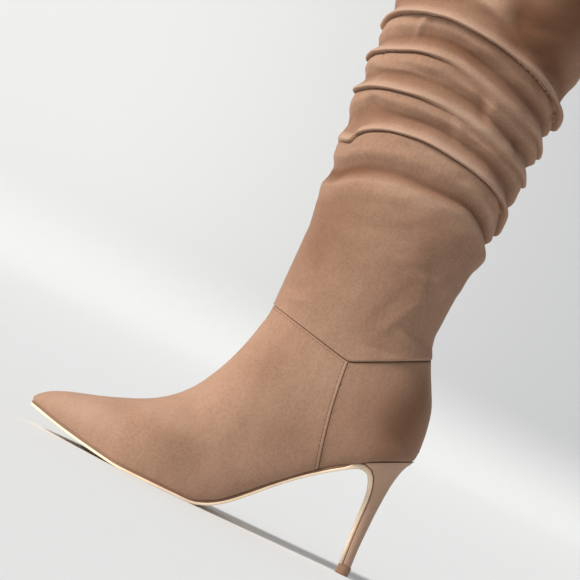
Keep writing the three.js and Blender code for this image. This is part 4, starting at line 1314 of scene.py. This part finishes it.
def on_the_inner_side(across, z, lift):
    """A point beside the zip's middle line, lifted off the skin, in mm."""
    share = (z - ZIP_LOW) / (ZIP_HIGH - ZIP_LOW)
    x = ZIP_ENDS[0] + (ZIP_ENDS[1] - ZIP_ENDS[0]) * share + across
    hits = [tree.ray_cast(Vector((x, -200, z)) * MM, Vector((0, 1, 0))) for tree in skins]
    spot, normal = min((hit[:2] for hit in hits if hit[0]), key=lambda hit: hit[0].y)
    outwards = -normal if normal.y > 0 else normal
    return spot / MM + outwards * lift


def tape_place(u, v):
    across = (u - 0.5) * TAPE_WIDTH
    z = ZIP_LOW + (ZIP_HIGH - ZIP_LOW) * v
    coil = math.exp(-(across / 0.75) ** 2) * (0.35 + 0.25 * math.sin(z * 2 * math.pi / COIL_PITCH))
    return on_the_inner_side(across, z, 0.12 + coil), (0.0, 0.0)


def lip_place(side):
    """One lip: highest at its folded edge, stitched down further out."""
    def place(u, v):
        z = ZIP_LOW - 1.5 + (ZIP_HIGH - ZIP_LOW + 2.5) * v
        ends = fade(v, 0.0, 0.02) * (1 - fade(v, 0.985, 1.0))
        stand = 0.95 * fade(u, -0.05, 0.16) * (1 - 0.75 * fade(u, 0.2, 0.72)) - 0.5 * fade(u, 0.85, 1)
        row = math.exp(-((u - 0.66) / 0.05) ** 2)
        stitch = row if z * 0.42 % 1.0 < 0.68 else 0.0
        across = side * (LIP_START + LIP_WIDTH * u)
        # Painted shade at the folded edge by the tape, a little paler further out, and dark stitches
        edge = 0.8 * (1 - fade(u, 0.0, 0.08))
        lift = stand * ends - 0.14 * row + 0.05
        return on_the_inner_side(across, z, lift), (0.25 - 0.4 * u, max(stitch * 0.75, edge))
    return place


mesh = rolled_grid(10, 430, tape_place, round_=False)
strip = finish_mesh(mesh, "zip_tape_strip", [woven], face_towards=(0, -1, 0))
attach(strip, "boot")
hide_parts("zip_tape")
for name, side in (("zip_lip_front", 1), ("zip_lip_back", -1)):
    mesh = rolled_grid(26, 240, lip_place(side), round_=False)
    lip = finish_mesh(mesh, name, [suede], face_towards=(0, -1, 0))
    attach(lip, "boot")
print("zip from", ZIP_LOW, "to", ZIP_HIGH, "at", ZIP_ENDS)

# %% [markdown]
# The card is pale near the boot. Where it rises behind it is painted greyer as shade, more so on the heel's
# side.

# %% Card finish of the sweep
card, card_shader, card_place = start_finish("pale_card", Roughness=0.9)
card_grain = grain(card_place, 40.0, 2.0)
# Painted shade: greyer where the card rises and towards the heel's side
card_shade_rise = card_place.node("ShaderNodeSeparateXYZ", output=2, Vector=card_place).between(0.0, 0.15)
card_shade_side = 1.0 - card_place.node("ShaderNodeSeparateXYZ", output=0, Vector=card_place).between(-0.45, 0.55)
card_shaded = card_shade_side.mix((0.66, 0.67, 0.67), (0.46, 0.475, 0.485))
card_near = card_grain.mix((0.76, 0.775, 0.78), (0.79, 0.80, 0.805))
feed(card_shader, "Base Color", card_shade_rise.mix(card_near, card_shaded))
sweep_mesh.materials.append(card)
